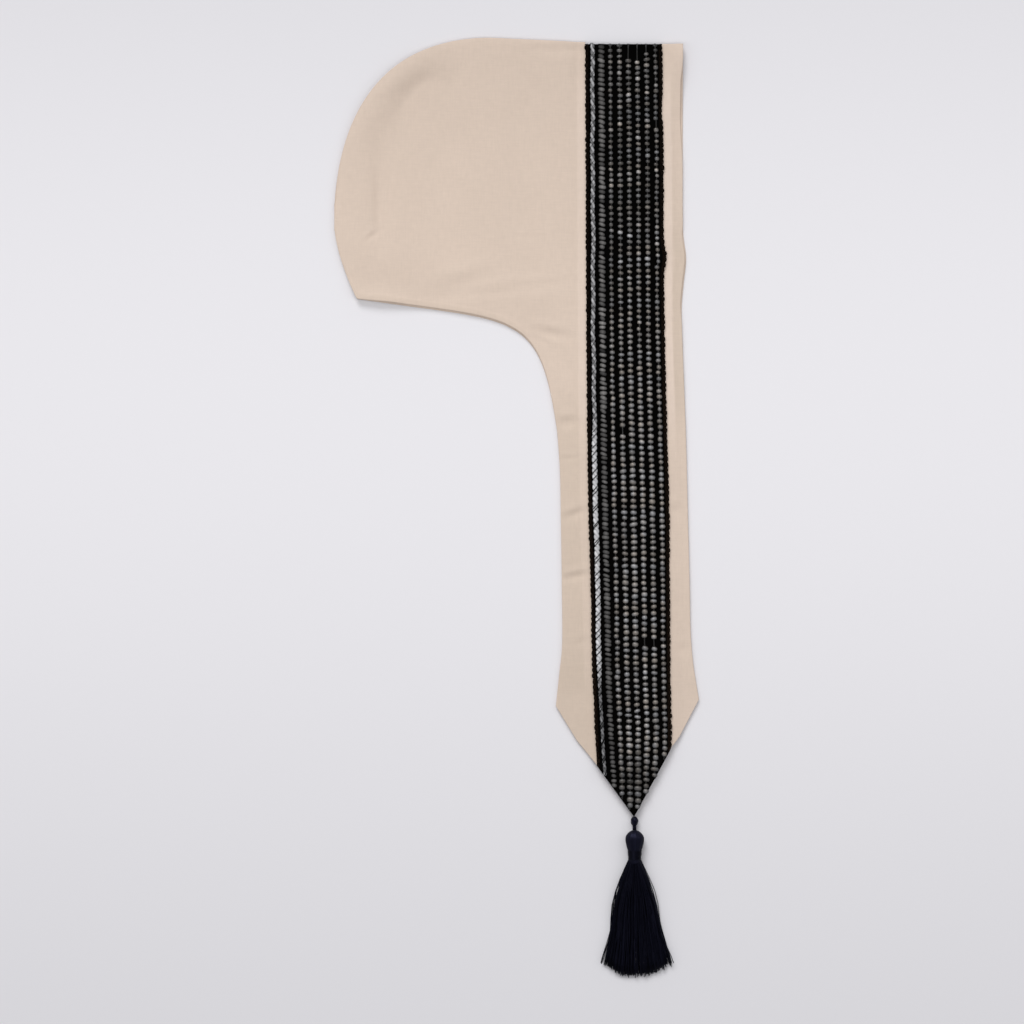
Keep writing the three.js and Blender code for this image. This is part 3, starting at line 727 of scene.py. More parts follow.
@dataclass(frozen=True)
class Heights:
    """How high each face of each half of the cloth lies."""

    outline: Outline
    step: float = 2.1          # climb over the band underneath
    climb: float = 8.4
    face_climb: float = 14.0   # gentler on the narrow side, where the cloth is stiff with its hem
    climb_top: float = 1.5
    cloth: float = 1.3
    gap: float = 0.3
    least: float = 1.6         # height that the upper half keeps in the deepest crease
    soft: float = 0.6          # height over which the cloth eases into that least height
    seam_roll: tuple[float, float, float] = (1.9, 6.0, 90.0)   # rise beside the seam, at 6 mm, gone at 90 mm
    swells: tuple[Fold, ...] = (
        Fold(-196, -100, 60, 60, 34, 1.2),
        Fold(-226, -22, 46, 62, 34, 4.0),
        Fold(-112, -124, 95, 95, 52, 1.3),
        Fold(-206, -192, -8, 45, 20, 1.2),
        Fold(-104, -222, -6, 60, 16, 1.1),
        Fold(-56, -305, -60, 26, 9, 0.9),
    )
    creases: tuple[Fold, ...] = (
        Fold(-178, -44, 40, 28, 20, -4.4),
        Fold(-196, -66, 64, 38, 24, -3.0),
        Fold(-172, -84, 58, 40, 30, -2.2),
        Fold(-212, -48, 48, 12, 6, -0.5),
        Fold(-218, -134, 91, 44, 11, -2.4),
        Fold(-221.5, -146, 90, 28, 2.6, -0.9),
        Fold(-226.5, -173, 42, 6, 2.2, -1.0),
        Fold(-238, -120, 80, 26, 6, -0.3),
        Fold(-177.5, -16, -51, 6, 1.7, -0.9),
        Fold(-150, -28, 62, 14, 6, -0.3),
        Fold(-56, -5, -1, 28, 4.0, -1.0),
        Fold(-46, -30, 2, 8, 2.4, -0.25),
        Fold(-86, -173.5, 1, 17, 2.4, -0.26),
        Fold(-44, -172, -3, 6, 2.2, -0.22),
        Fold(-142, -216, 16, 24, 8, -1.3),
        Fold(-118, -224, 4, 46, 3.6, -0.65),
        Fold(-90, -217, 4, 44, 3.4, -0.5),
        Fold(-64, -261, -9, 15, 4.2, -1.25),
        Fold(-72, -268, -18, 10, 2.4, -0.4),
        Fold(-50, -340.5, 3, 8.5, 4.2, -1.25),
        Fold(-50, -373, 2, 9, 1.9, -0.55),
        Fold(-43, -423, 20, 12, 3.4, -1.25),
        Fold(-42, -479, 11, 12, 3.0, -1.4),
        Fold(-38, -538.5, 14, 7, 3.0, -0.45),
        Fold(53, -545, 10, 8, 4, -0.4),
        Fold(46, -420, 5, 7, 5.5, -0.9),
        Fold(47, -67, 12, 6, 5, -0.4),
        Fold(41, -187, 80, 12, 4, -0.5),
    )
    lifts: tuple[Fold, ...] = (Fold(-218, -232, -6, 24, 10, 2.3), Fold(51, -16, 90, 28, 9, 3.8))
    under_creases: tuple[Fold, ...] = (
        Fold(-214, -140, 84, 44, 5, 0.32),
        Fold(-150, -120, 100, 70, 6, 0.22),
        Fold(-112, -218, 6, 48, 5, 0.34),
        Fold(-70, -262, -16, 16, 4, 0.36),
        Fold(-47, -392, 10, 11, 4, 0.34),
        Fold(-46, -455, -6, 12, 4, 0.38),
        Fold(-45, -520, 9, 11, 4, 0.34),
        Fold(51, -480, 6, 8, 4, 0.26),
    )

    def seam_distance(self, x: np.ndarray, y: np.ndarray) -> np.ndarray:
        """Shortest way from each place to the seam."""
        seam = self.outline.seam_points()
        flat_x, flat_y = x.ravel(), y.ravel()
        squared = (flat_x[:, None] - seam[:, 0]) ** 2 + (flat_y[:, None] - seam[:, 1]) ** 2
        return np.sqrt(squared.min(1)).reshape(x.shape)

    def lifted(self, x: np.ndarray, y: np.ndarray) -> np.ndarray:
        """How far both halves stand off the surface, at the nape and at the corner beside the fold."""
        return sum(s.at(x, y) for s in self.lifts)

    def ripple(self, x: np.ndarray, y: np.ndarray) -> np.ndarray:
        """Slight unevenness of the lying cloth: three crossed sines, 50 to 120 mm long."""
        return (
            np.sin(x / 13.1 + y / 21.7 + 0.4) * np.sin(y / 17.3 - x / 31.0)
            + 0.6 * np.sin(x / 8.3 - y / 11.9 + 1.3) * np.sin(y / 27.0 + 0.7)
        ) * 0.11

    def at(self, anchors: dict[str, np.ndarray], x: np.ndarray, y: np.ndarray) -> dict[str, np.ndarray]:
        """Heights of both faces of both halves.

        A half climbs by step over the band underneath. The upper one also rises beside the rolled seam as
        sin(d / 6 pi / 2), and over the swells, and both have their creases. A deep crease of the upper half
        presses into the one underneath, down to a least height: its own height above that, h, is made
        (h + sqrt(h^2 + soft^2)) / 2.

        Args:
            anchors: the band's places at each point.
            x: points.
            y: points.

        Returns:
            The four heights by name, before the hems and rounded edges.
        """
        foot = np.maximum(anchors["left"] - x, x - anchors["right"])
        reach = np.where(x > anchors["middle"], self.face_climb, self.climb)
        step = self.step * smooth(reach - foot, 0, reach - self.climb_top)
        free = smooth(foot, self.climb_top, self.climb * 2)
        d = self.seam_distance(x, y)
        low = step + free * 0.9 * np.clip(1 - d / 4, 0, 1)
        rise, crest, gone = self.seam_roll
        climbing = np.sin(np.minimum(d, crest) / crest * np.pi / 2)
        rolled = np.where(d < crest, climbing, 1 - smooth(d, crest, gone))
        loft = sum(s.at(x, y) for s in self.swells)
        lift = free * (rise * rolled + (loft + self.ripple(x, y)) * smooth(d, 0, 18))
        crease = sum(c.at(x, y, 0.45) for c in self.creases)
        low = low + self.lifted(x, y)
        pressed = sum(c.at(x, y) for c in self.under_creases) * free
        under_low = low + pressed
        under_high = np.maximum(low + self.cloth, under_low + self.cloth - 0.2)
        upper_high = low + self.cloth * 2 + self.gap + lift + crease * np.minimum(free + 0.7, 1)
        spare = upper_high - low - self.least
        upper_high = low + self.least + (spare + np.sqrt(spare * spare + self.soft**2)) / 2
        under_high = np.minimum(under_high, upper_high - 0.7)
        upper_low = np.maximum(upper_high - self.cloth, under_high + 0.08)
        return {
            "under_low": under_low,
            "under_high": under_high,
            "upper_low": np.minimum(upper_low, upper_high - 0.6),
            "upper_high": upper_high,
        }


def half_round(low: np.ndarray, high: np.ndarray, inset: np.ndarray) -> tuple[np.ndarray, np.ndarray]:
    """Rounds a wall's edge: nearer to it than half the wall's thickness r, half its height is
    sqrt(r^2 - (r - inset)^2).

    Args:
        low: lower face.
        high: upper face.
        inset: distance from the edge.

    Returns:
        The new lower and upper face.
    """
    middle, r = (low + high) / 2, (high - low) / 2
    reach = np.minimum(inset, r)
    half = np.sqrt(np.maximum(r * r - (r - reach) ** 2, 0)) + 0.04
    half = np.minimum(half, r)
    return middle - half, middle + half


# ---- Side panels --------------------------------------------------------------------------------


@dataclass
class SidePanel:
    """One side of the hood with its lappet, cut in one."""

    datum: Datum
    upper: bool
    spacing: float
    outline: Outline = field(default_factory=Outline)
    hem_width: float = 10.8
    hem_relief: float = 0.28
    hood_depth: float = 260.0
    notch: float = 0.3              # how near the band's edge the cloth keeps its full height at the fold

    def columns(self, anchors: dict[str, np.ndarray]) -> np.ndarray:
        """Places along x of the lines from the outer edge to the face edge.

        Args:
            anchors: places of the edges at each row.

        Returns:
            Rows x lines.
        """
        heights = Heights(self.outline)
        edge, left, middle, right, face = (
            np.asarray(anchors[k], float) for k in ("edge", "left", "middle", "right", "face")
        )
        knots = np.stack(
            [
                edge, edge + 0.25, edge + 0.8, edge + 2.0, left - heights.climb, left - heights.climb_top,
                left - self.notch, left, middle, right, right + self.notch, right + heights.climb_top,
                face - self.hem_width, face - self.hem_width + 1.2,
                face - 2.0, face - 0.8, face - 0.25, face,
            ],
            -1,
        )  # fmt: skip
        lines = max(int(64 / self.spacing), 8)
        parts = [1, 1, 1, lines, 5, 1, 1, 4, 4, 1, 1, 4, 2, 5, 1, 1, 1]
        place = np.concatenate([[0]] + [i + np.linspace(0, 1, n + 1)[1:] for i, n in enumerate(parts)])
        low = np.minimum(place.astype(int), len(parts) - 1)
        return mixed(knots[:, low], knots[:, low + 1], place - low)

    def grids(self) -> tuple[np.ndarray, np.ndarray, dict[str, np.ndarray], np.ndarray]:
        """Places of the whole panel's grid: the hood, then the lappet, then the pointed end.

        Returns:
            x, y, the anchors at each point, and the inset from the nearest edge.
        """
        o, depth = self.outline, self.hood_depth
        throat_level = o.neck(self.upper, np.array([o.throat]))[0]
        ends = (0.2, 0.7, 1.6, 3.0)
        core = np.arange(3.0, depth - 12, self.spacing)
        near_neck = depth - np.array([10, 7.5, 6.2, 5.2, 3.4, 1.8, 0.8, 0.25, 0])
        rows = np.concatenate([[0, *ends[:-1]], core, near_neck]) / depth
        reach = o.throat - o.back
        across = np.arange(26.5, reach, self.spacing * 1.1)
        rear = np.concatenate([[0.1, 0.5, 1.1, 2, 3.2], np.arange(4.6, 26, 1.4), across])
        hood_x = np.broadcast_to(o.back + rear, (len(rows), len(rear)))
        top, neck = o.top(hood_x), o.neck(self.upper, hood_x)
        hood_y = mixed(top, neck, rows[:, None])
        # In front of the throat the rows run on to the face edge, drawn back inside the turn of the band.
        level = mixed(o.rise, throat_level, rows)
        anchors = o.anchors(self.upper, np.maximum(level, throat_level + 1e-6))
        front_x = self.columns(anchors)
        foot = np.maximum(anchors["left"][:, None] - front_x, front_x - anchors["right"][:, None])
        inside = np.clip(1 - foot / self.notch, 0, 1)
        start = o.top(front_x) * (1 - inside) - 2.0 * inside
        front_y = mixed(start, throat_level, rows[:, None])
        # Lappet, then the end, whose rows close up from the last level to the point.
        lappet = np.arange(throat_level - 0.6, o.end_start, -self.spacing)
        end_parts = max(int(118 / self.spacing), 10)
        shares = np.concatenate([np.linspace(0, 1, end_parts)[:-1], [1 - 0.8 / 90, 1 - 0.25 / 90, 1]])
        lappet_anchors = o.anchors(self.upper, lappet)
        start_anchors, end_anchors = o.anchors(self.upper, np.array([o.end_start])), o.end_anchors()
        tail_anchors = {k: mixed(start_anchors[k][0], v, shares) for k, v in end_anchors.items()}
        lappet_x, tail_x = self.columns(lappet_anchors), self.columns(tail_anchors)
        tail_end = o.end_level(self.columns({k: np.array([v]) for k, v in end_anchors.items()}))
        lappet_y = np.broadcast_to(lappet[:, None], lappet_x.shape)
        tail_y = mixed(o.end_start, tail_end, shares[:, None])
        low_x, low_y = np.concatenate([lappet_x, tail_x]), np.concatenate([lappet_y, tail_y])
        blank = np.full((len(low_x), len(rear)), np.nan)
        x = np.block([[hood_x, front_x], [blank, low_x]])
        y = np.block([[hood_y, front_y], [blank, low_y]])
        full = {
            k: np.concatenate([anchors[k], lappet_anchors[k], tail_anchors[k]])[:, None] * np.ones(x.shape[1])
            for k in anchors
        }
        hood_anchors = o.anchors(self.upper, hood_y)
        for k in full:
            full[k][: len(rows), : len(rear)] = hood_anchors[k]
        # Distance to the nearest edge, along rows and along columns.
        from_top = np.concatenate([rows * depth, np.full(len(low_x), 99.0)])[:, None] * np.ones(x.shape[1])
        drop = np.concatenate([(1 - rows) * depth, np.full(len(lappet), 99.0), (1 - shares) * 90])
        from_end = drop[:, None] * np.ones(x.shape[1])
        from_end[: len(rows), len(rear) + 1 :] = 99.0
        edge_gap = np.where(np.arange(x.shape[0])[:, None] >= len(rows), x - full["edge"], 99.0)
        rear_gap = np.concatenate([rear, np.full(front_x.shape[1], 99.0)])[None] * np.ones((x.shape[0], 1))
        inset = np.minimum.reduce([from_top, from_end, full["face"] - x, edge_gap, rear_gap])
        return x, y, full, np.maximum(np.nan_to_num(inset, nan=99.0), 0)

    def hems(self, x: np.ndarray, y: np.ndarray, anchors: dict[str, np.ndarray]) -> np.ndarray:
        """Share of the full hem relief, at the face edge and, narrower, down the lappet.

        Args:
            x: points.
            y: points.
            anchors: places of the edges at each point.

        Returns:
            0 where the cloth is single, 1 on a hem.
        """
        from_face = anchors["face"] - x
        face_hem = (1 - smooth(from_face, self.hem_width - 2.6, self.hem_width)) * smooth(-y, 90, 200)
        in_lappet = 1 - smooth(y, -345, -300)
        lappet_hem = in_lappet * smooth(anchors["left"] - x, 7.2, 8.4)
        ending = 1 - smooth(-y, 560, 600)
        return np.maximum(face_hem, lappet_hem) * np.maximum(ending, 0.25)

    def shape(self) -> Shape:
        """The closed wall of the panel, with its hems, rounded edges, creases and tones."""
        x, y, anchors, inset = self.grids()
        safe_x, safe_y = np.nan_to_num(x), np.nan_to_num(y)
        heights = Heights(self.outline).at(anchors, safe_x, safe_y)
        name = "upper" if self.upper else "under"
        low, high = heights[name + "_low"], heights[name + "_high"]
        hem = self.hems(safe_x, safe_y, anchors)
        # The neck hem is a narrow roll, 5 mm wide.
        from_neck = safe_y - self.outline.neck(self.upper, safe_x)
        neck_gap = np.where(safe_x < anchors["left"] - 7, from_neck, 99.0)
        neck_hem = np.where(safe_y > -262, 1 - smooth(neck_gap, 4.4, 5.8), 0.0)
        if self.upper:
            high = high + self.hem_relief * hem + 0.3 * neck_hem
        low, high = half_round(low, high, inset)
        foot = np.maximum(anchors["left"] - safe_x, safe_x - anchors["right"])
        strip = smooth(foot, -1, 0) * (1 - smooth(foot, 7.4, 8.6)) * smooth(-safe_y, 10, 60)
        lower = smooth(-safe_y, 300, 380)
        strip = strip * mixed(0.48, np.where(safe_x > 0, 0.0, -0.2), lower) * np.where(safe_x > 0, 1.8, 1.0)
        deep = np.where(safe_x > 0, mixed(0.75, 0.1, lower), 0.55)
        tone = strip - hem * smooth(foot, 6, 9) * deep - 0.3 * neck_hem * (1 - hem)
        tone = tone - np.where(safe_x > 0, 0.0, 0.12 * lower + 0.4 * smooth(-safe_y, 530, 590))
        if not self.upper:
            tone = tone * 0.4
        outer, inner = np.stack([x, y, high], -1), np.stack([x, y, low], -1)
        return closed_wall(outer, inner, tone, np.stack([x, y], -1))

    def dress(self, cloth: bpy.types.Material) -> bpy.types.Object:
        """Builds the panel, which stands for its CAD node.

        Args:
            cloth: its finish.

        Returns:
            The piece.
        """
        half = "upper" if self.upper else "under"
        piece = self.datum.build(f"cloth_{half}", self.shape(), cloth, "cloth")
        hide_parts(f"side_panel_{half}")
        return piece


# ---- Beaded band --------------------------------------------------------------------------------


@dataclass(frozen=True)
class BandPath:
    """The band's way from the point, over the fold and down the other side, by its length s from the fold.

    For s from 0 to turn the outer face runs round a quarter of an ellipse: y = -3 (1 - cos a) and
    z = 3.35 + (6.7 - 3.35) sin a with a = 90 s / turn; past that it lies level. Below 0 it is the same
    downwards, to the level of the half underneath, where heights h are pressed to p tanh(h / p).
    """

    outline: Outline
    upper_face: float = 6.7
    under_face: float = 0.95
    middle: float = 3.35
    depth: float = 3.0
    turn: float = 5.0
    pressed: float = 0.85      # most that anything stands off the half underneath, which rests on it
    dents: tuple[Fold, ...] = (Fold(0, -192, 0, 1, 9, 2.6), Fold(0, -61, 0, 1, 10, -1.1))

    def place(self, s: np.ndarray, x: np.ndarray, height: np.ndarray) -> np.ndarray:
        """Points at a length along the band and a height off its outer face.

        Args:
            s: length from the fold, above 0 on the upper half.
            x: places across.
            height: distance outwards.

        Returns:
            The points, with one more axis of 3.
        """
        s, x, height = np.broadcast_arrays(s, x, height)
        pressed = self.pressed * np.tanh(np.maximum(height, 0) / self.pressed) + np.minimum(height, 0)
        height = np.where(s > 0, height, pressed)
        face = np.where(s > 0, self.upper_face, self.under_face)
        way = np.where(s > 0, 1.0, -1.0)
        angle = np.clip(np.abs(s) / self.turn, 0, 1) * np.pi / 2
        reach = np.abs(face - self.middle)
        y = -self.depth * (1 - np.cos(angle)) - np.maximum(np.abs(s) - self.turn, 0)
        z = self.middle + way * reach * np.sin(angle)
        out_y, out_z = np.cos(angle) * reach, way * np.sin(angle) * self.depth
        norm = np.hypot(out_y, out_z)
        return np.stack([x, y + height * out_y / norm, z + height * out_z / norm], -1)

    def level(self, s: np.ndarray) -> np.ndarray:
        """Level down the scarf at a length along the band."""
        return -np.maximum(np.abs(s) - self.turn, 0) - self.depth * np.clip(np.abs(s) / self.turn, 0, 1)

    def across(self, share: np.ndarray, s: np.ndarray) -> np.ndarray:
        """Place along x of a share of the width. The right edge has dents, and rows lean to the point."""
        level = self.level(s)
        width = self.outline.band.at("width", level)
        x = self.outline.band.at("middle", level) + (share - 0.5) * width
        dent = sum(d.height * np.exp(-(((level - d.y) / d.width) ** 2)) for d in self.dents)
        x = x + dent * smooth(share, 0.86, 1.0) * (s > 0)
        tip = self.outline.end_anchors()["middle"]
        return x + (tip - x) * 0.16 * smooth(-level, 610, 700)

    def length_to(self, level: np.ndarray) -> np.ndarray:
        """Length along the upper half to a level."""
        return -level - self.depth + self.turn


@dataclass
class BeadedBand:
    """Black braid with a rope, a cord and six rows of beads, folded over the top of the head."""

    datum: Datum
    outline: Outline = field(default_factory=Outline)
    first_row: float = 0.0855
    row_pitch: float = 0.1184
    braid: float = 1.6              # thickness of the braid where it lies on the cloth
    bead_pitch: tuple[float, float] = (5.05, 5.45)
    bead: tuple[float, float, float] = (3.1, 2.4, 1.5)   # half sizes across, along and off the braid
    loop: tuple[float, float, float] = (1.45, 2.55, 0.75)   # the same for a loop of the edge
    row_widths: tuple[float, ...] = (0.88, 1.03, 1.06, 0.98, 1.02, 0.85)
    row_lights: tuple[float, ...] = (0.86, 0.9, 1.0, 1.1, 0.96, 0.88)
    seed: int = 11

    # Stretches with no bead: row from 0 at the first bead row, and levels from and to.
    bare: tuple[tuple[int, float, float], ...] = (
        (2, 3, -14), (3, 3, -14), (4, 3, -8), (5, -70, -75.5), (1, -346, -351), (3, -536, -540),
        (4, -536, -541),
    )  # fmt: skip

    # Stretches with brighter beads: row, levels from and to, and how much brighter.
    bright: tuple[tuple[int, float, float, float], ...] = (
        (1, -612, -636, 0.34), (2, -606, -626, 0.2), (3, -560, -626, 0.14), (0, -572, -584, 0.25),
        (1, -500, -540, 0.15),
    )  # fmt: skip

    def __post_init__(self) -> None:
        """Sets up the path and the seeded random draws."""
        self.path = BandPath(self.outline)
        self.random = np.random.default_rng(self.seed)

    def row_share(self, row: int) -> float:
        """Place of a raised row as a share of the width."""
        return self.first_row + row * self.row_pitch

    def end_of(self, share: float, margin: float) -> float:
        """Length along the band at which a line across it meets the pointed end.

        Args:
            share: place across.
            margin: how far short of the end it stops.

        Returns:
            The length.
        """
        levels = np.linspace(-560, -696, 600)
        lengths = self.path.length_to(levels)
        x = self.path.across(share, lengths)
        ends = self.outline.end_level(x) - self.outline.band_overhang
        inside = lengths[levels > ends + margin]
        return float(inside.max())

    def relief(self, s: np.ndarray) -> np.ndarray:
        """Share of the full height of beads and cords: 1 on top, half underneath, least on the fold."""
        return 0.25 + 0.75 * smooth(s, 0, 13) + 0.25 * smooth(-s, 0, 9)

    def braid_shape(self) -> Shape:
        """The woven ground: one ribbon from point to point over the fold, a little hollow between rows."""
        places = steps((0.024, 2), (self.row_share(0), 3), (self.row_share(7), 28), (1 - 0.024, 3), (1.0, 2))
        hollow = -0.22 * np.sin((places - self.first_row) / self.row_pitch * np.pi) ** 2
        hollow[(places < 0.03) | (places > 0.97)] = -0.35
        tail_start = -558.0
        straight = np.concatenate([np.linspace(0, self.path.turn, 9)[:-1], np.arange(5, 561, 3.0)])
        shares = np.concatenate([np.linspace(0, 1, 40)[1:-1], [0.996, 1.0]])
        start, end = self.outline.anchors(False, np.array([tail_start])), self.outline.end_anchors()
        left = mixed(start["left"][0], end["left"], shares)[:, None]
        right = mixed(start["right"][0], end["right"], shares)[:, None]
        tail_x = left + (right - left) * places
        end_x = mixed(end["left"], end["right"], places)
        tail_end = self.outline.end_level(end_x) - self.outline.band_overhang
        tail_level = mixed(tail_start, tail_end, shares[:, None])
        rows_x, rows_s = [], []
        for way in (1, -1):
            head_x = self.path.across(places[None], way * straight[:, None])
            rows_x.append(np.concatenate([head_x, tail_x]))
            head_s = np.broadcast_to(straight[:, None], head_x.shape)
            rows_s.append(way * np.concatenate([head_s, self.path.length_to(tail_level)]))
        x = np.concatenate([rows_x[1][:0:-1], rows_x[0]])
        s = np.concatenate([rows_s[1][:0:-1], rows_s[0]])
        thick = mixed(1.05, self.braid, smooth(s, -6, 4))
        height = hollow * self.relief(s)
        edge = np.minimum(np.arange(len(places)), np.arange(len(places))[::-1])
        rounding = np.where(edge == 0, 0.3, 0.0)
        outer = self.path.place(s, x, height - rounding)
        inner = self.path.place(s, x, rounding - thick)
        tone = np.broadcast_to(np.where(edge < 3, 0.75, 0.04), s.shape)
        return closed_wall(outer, inner, tone, np.stack([x, s], -1))

    def beads_of(self, row: int, way: int) -> Shape:
        """One row of beads on one half.

        Args:
            row: number of the bead row, from 0.
            way: 1 for the upper half and -1 for the one underneath.

        Returns:
            All its beads.
        """
        share = self.row_share(row + 2)
        stop = self.end_of(share, 1.6)
        count = int(stop / sum(self.bead_pitch) * 2) + 3
        pitch = mixed(*self.bead_pitch, np.linspace(0, 1, count)) * (1 + self.random.normal(0, 0.05, count))
        s = 1.5 + np.cumsum(pitch) - pitch[0] * self.random.uniform(0.3, 1)
        keep = s < stop
        level = self.path.level(s)
        if way > 0:
            for bare_row, high, low in self.bare:
                keep &= ~((bare_row == row) & (level < high) & (level > low))
        s = s[keep]
        size = np.array(self.bead) * (self.row_widths[row], 1, 1)
        grown = mixed(0.86, 1.0, smooth(s, 200, 400)) * mixed(1.0, 1.08, smooth(s, 610, 660))
        size = size * (mixed(0.7, 1.0, smooth(stop - s, -2, 7)) * grown)[:, None]
        return self.grains(s, share, way, size, 9.0, self.bead_tone(row, s))

    def string_of(self, row: int, way: int) -> Shape:
        """The thread that a row of beads is strung on, a little loose."""
        share = self.row_share(row + 2)
        s = np.arange(1.0, self.end_of(share, 0.8), 3.0)
        sway = 0.2 * np.sin(s / 7.0 + row)
        flat = np.zeros(len(s))
        return self.wound(s, share, way, flat, sway, flat, flat + 0.8, flat + 0.03, 4, base=0.1)

    def bead_tone(self, row: int, s: np.ndarray) -> np.ndarray:
        """Brightness of a row's beads: a slow drift with a spread, dim near the fold, bright in some places.

        Args:
            row: number of the bead row.
            s: the beads' lengths along the band.

        Returns:
            Their tones.
        """
        drift = 0.05 * np.sin(s / 47.0 + row * 2.1) + 0.04 * np.sin(s / 19.0 + row)
        near = 1 - smooth(s, 120, 330)
        glint = np.abs(self.random.normal(0, 1, len(s)))
        spread = mixed(self.random.normal(0, 0.1, len(s)), 0.15 * glint**2 - 0.1, near)
        base = 0.61 - 0.27 * near - 0.27 * smooth(s, 625, 665)
        down = -self.path.level(s)
        for high, low, more in (stretch[1:] for stretch in self.bright if stretch[0] == row):
            base = base + more * smooth(down, -high - 5, -high) * (1 - smooth(down, -low, -low + 5))
        return np.clip((base + drift + spread) * self.row_lights[row], 0.08, 1.0)

    def grains(
        self, s: np.ndarray, share: float, way: int, size: np.ndarray, lean: float, tone: np.ndarray,
        turn: float = 0.0,
    ) -> Shape:  # fmt: skip
        """Sets rounded grains on the band.

        Args:
            s: their lengths along it.
            share: their place across it.
            way: 1 or -1 for the half.
            size: half sizes across, along and outwards.
            lean: spread of how far they are turned, in degrees.
            tone: their tones.
            turn: how far all of them are turned.

        Returns:
            The shape.
        """
        points, faces = grain()
        count = len(s)
        scale = size * (1 + self.random.normal(0, 0.085, (count, 3)))
        angle = np.radians(turn + self.random.normal(0, lean, count))
        local = points[None] * np.broadcast_to(scale, (count, 3))[:, None]
        cos, sin = np.cos(angle)[:, None], np.sin(angle)[:, None]
        dx = local[..., 0] * cos - local[..., 1] * sin
        ds = local[..., 0] * sin + local[..., 1] * cos
        x = self.path.across(share, way * s) + self.random.normal(0, 0.2, count)
        place_s = way * (s[:, None] + ds)
        height = (local[..., 2] + 0.12) * self.relief(place_s)
        placed = self.path.place(place_s, x[:, None] + dx, height)
        # Painted shade: the tone falls from 1 on top to almost none at the level of the braid, so their sides
        # look dark.
        painted_shade = mixed(0.03, 1.0, np.clip(points[:, 2], 0, 1) ** 1.6 * (1 - 0.55 * points[:, 0] ** 2))[None]
        offsets = (np.arange(count) * len(points))[:, None, None]
        uv = np.stack([dx, ds + s[:, None]], -1)
        order = slice(None) if way > 0 else slice(None, None, -1)
        return Shape(
            placed.reshape(-1, 3),
            [(f[None, :, order] + offsets).reshape(-1, f.shape[1]) for f in faces],
            # Painted shade: the tone also falls to 0.12 on the fold, where the band turns away from the
            # light.
            (tone[:, None] * painted_shade * mixed(0.12, 1.0, smooth(np.abs(place_s), 1, 15))).ravel(),
            uv.reshape(-1, 2),
        )

    def selvedge(self, way: int) -> Shape:
        """Overlock loops along both edges of one half, which scallop its outline."""
        shapes = []
        for share in (0.011, 0.989):
            s = np.arange(1.0, self.end_of(share, 2.2), 5.13)
            s = s + self.random.normal(0, 0.15, len(s))
            tone = np.clip(self.random.normal(0.8, 0.15, len(s)), 0.3, 1)
            shapes.append(self.grains(s, share, way, np.array(self.loop), 5.0, tone))
        return Shape.joined(shapes)

    def rope(self, way: int) -> Shape:
        """The silver rope of one half: two plies wound one way, and two thin dark threads wound the other.

        A ply's middle is the rope's plus a (cos w, sin w) across and outwards, with w = -2 pi s / pitch.

        Args:
            way: 1 or -1 for the half.

        Returns:
            The plies, then the threads.
        """
        share = self.row_share(0)
        stop = self.end_of(share, 1.2)
        s = np.arange(0.6, stop, 0.85)
        full = smooth(s, 335, 365)
        late = smooth(s, 555, 585)
        radius = mixed(mixed(1.25, 1.55, full), 0.95, late)
        sway = 0.35 * np.sin(s / 8.7) * (1 - full * 0.6) + 0.2 * np.sin(s / 23.0)
        noise = 0.07 * np.sin(s * 1.7) + 0.06 * np.sin(s * 0.63 + 1)
        silver = mixed(mixed(0.62, 0.88, full), 0.28, late) + noise
        second = mixed(mixed(0.2, 0.76, full), 0.18, late) + noise
        spread = mixed(mixed(0.85, 1.0, full), 0.7, late)
        plies = []
        for phase, tone in ((0.0, silver), (math.pi, second)):
            turn = phase - 2 * np.pi * s / 9.9
            plies.append(self.wound(s, share, way, turn, sway, spread, radius, tone, 7))
        crossing = []
        for phase in (0.4, 2.9):
            turn = phase + 2 * np.pi * s / 15.0 + 0.9 * np.sin(s / 31.0 + phase)
            loose = 0.2 * np.sin(s / 5.1 + phase)
            thin = mixed(0.18, 0.38, full)
            out = radius + spread - 0.1
            crossing.append(self.wound(s, share, way, turn, sway + loose, out, thin, s * 0, 4, rise=1.0))
        return Shape.joined(plies + crossing)

    def wound(
        self, s: np.ndarray, share: float, way: int, turn: np.ndarray, sway: np.ndarray,
        spread: np.ndarray, radius: np.ndarray, tone: np.ndarray, sides: int,
        rise: float = 0.7, base: float = 1.0,
    ) -> Shape:  # fmt: skip
        """A thread wound round a line along the band.

        Args:
            s: lengths along the band.
            share: place of the line across it.
            way: 1 or -1 for the half.
            turn: angle of the thread about the line at each length.
            sway: how far the line strays sideways.
            spread: distance of the thread from the line.
            radius: the thread's own.
            tone: its tones.
            sides: corners of its section.
            rise: how far it goes up and down, as a share of how far it goes sideways.
            base: height of the line off the braid.

        Returns:
            The rod.
        """
        x = self.path.across(share, way * s) + sway + spread * np.cos(turn)
        relief = self.relief(way * s)
        radius = radius * mixed(0.75, 1, relief)
        height = np.maximum((base + spread * np.sin(turn) * rise) * relief, radius * 0.3)
        if way < 0:
            radius = np.minimum(radius, self.path.pressed / 2)
            height = np.minimum(height, self.path.pressed - radius)
        path = self.path.place(way * s, x, height)[None]
        return tubes(path, radius[None], sides, np.clip(tone, 0, 1)[None])

    def cord(self, way: int) -> Shape:
        """The tightly wound cord of the second row: leaning turns, close together, brighter near the fold."""
        stop = self.end_of(self.row_share(1), 1.4)
        s = np.arange(1.2, stop, 4.2)
        s = s + self.random.normal(0, 0.3, len(s))
        lower = smooth(s, 280, 380)
        spread = mixed(0.12, 0.045, lower)
        tone = np.clip(mixed(0.4, 0.22, lower) + self.random.normal(0, 1, len(s)) * spread, 0.05, 1)
        late = smooth(s, 560, 640)
        size = np.stack([mixed(3.5, 2.8, late), mixed(2.1, 1.95, late), mixed(1.35, 1.1, late)], -1)
        return self.grains(s, self.row_share(1), way, size, 9.0, tone, 19.0)

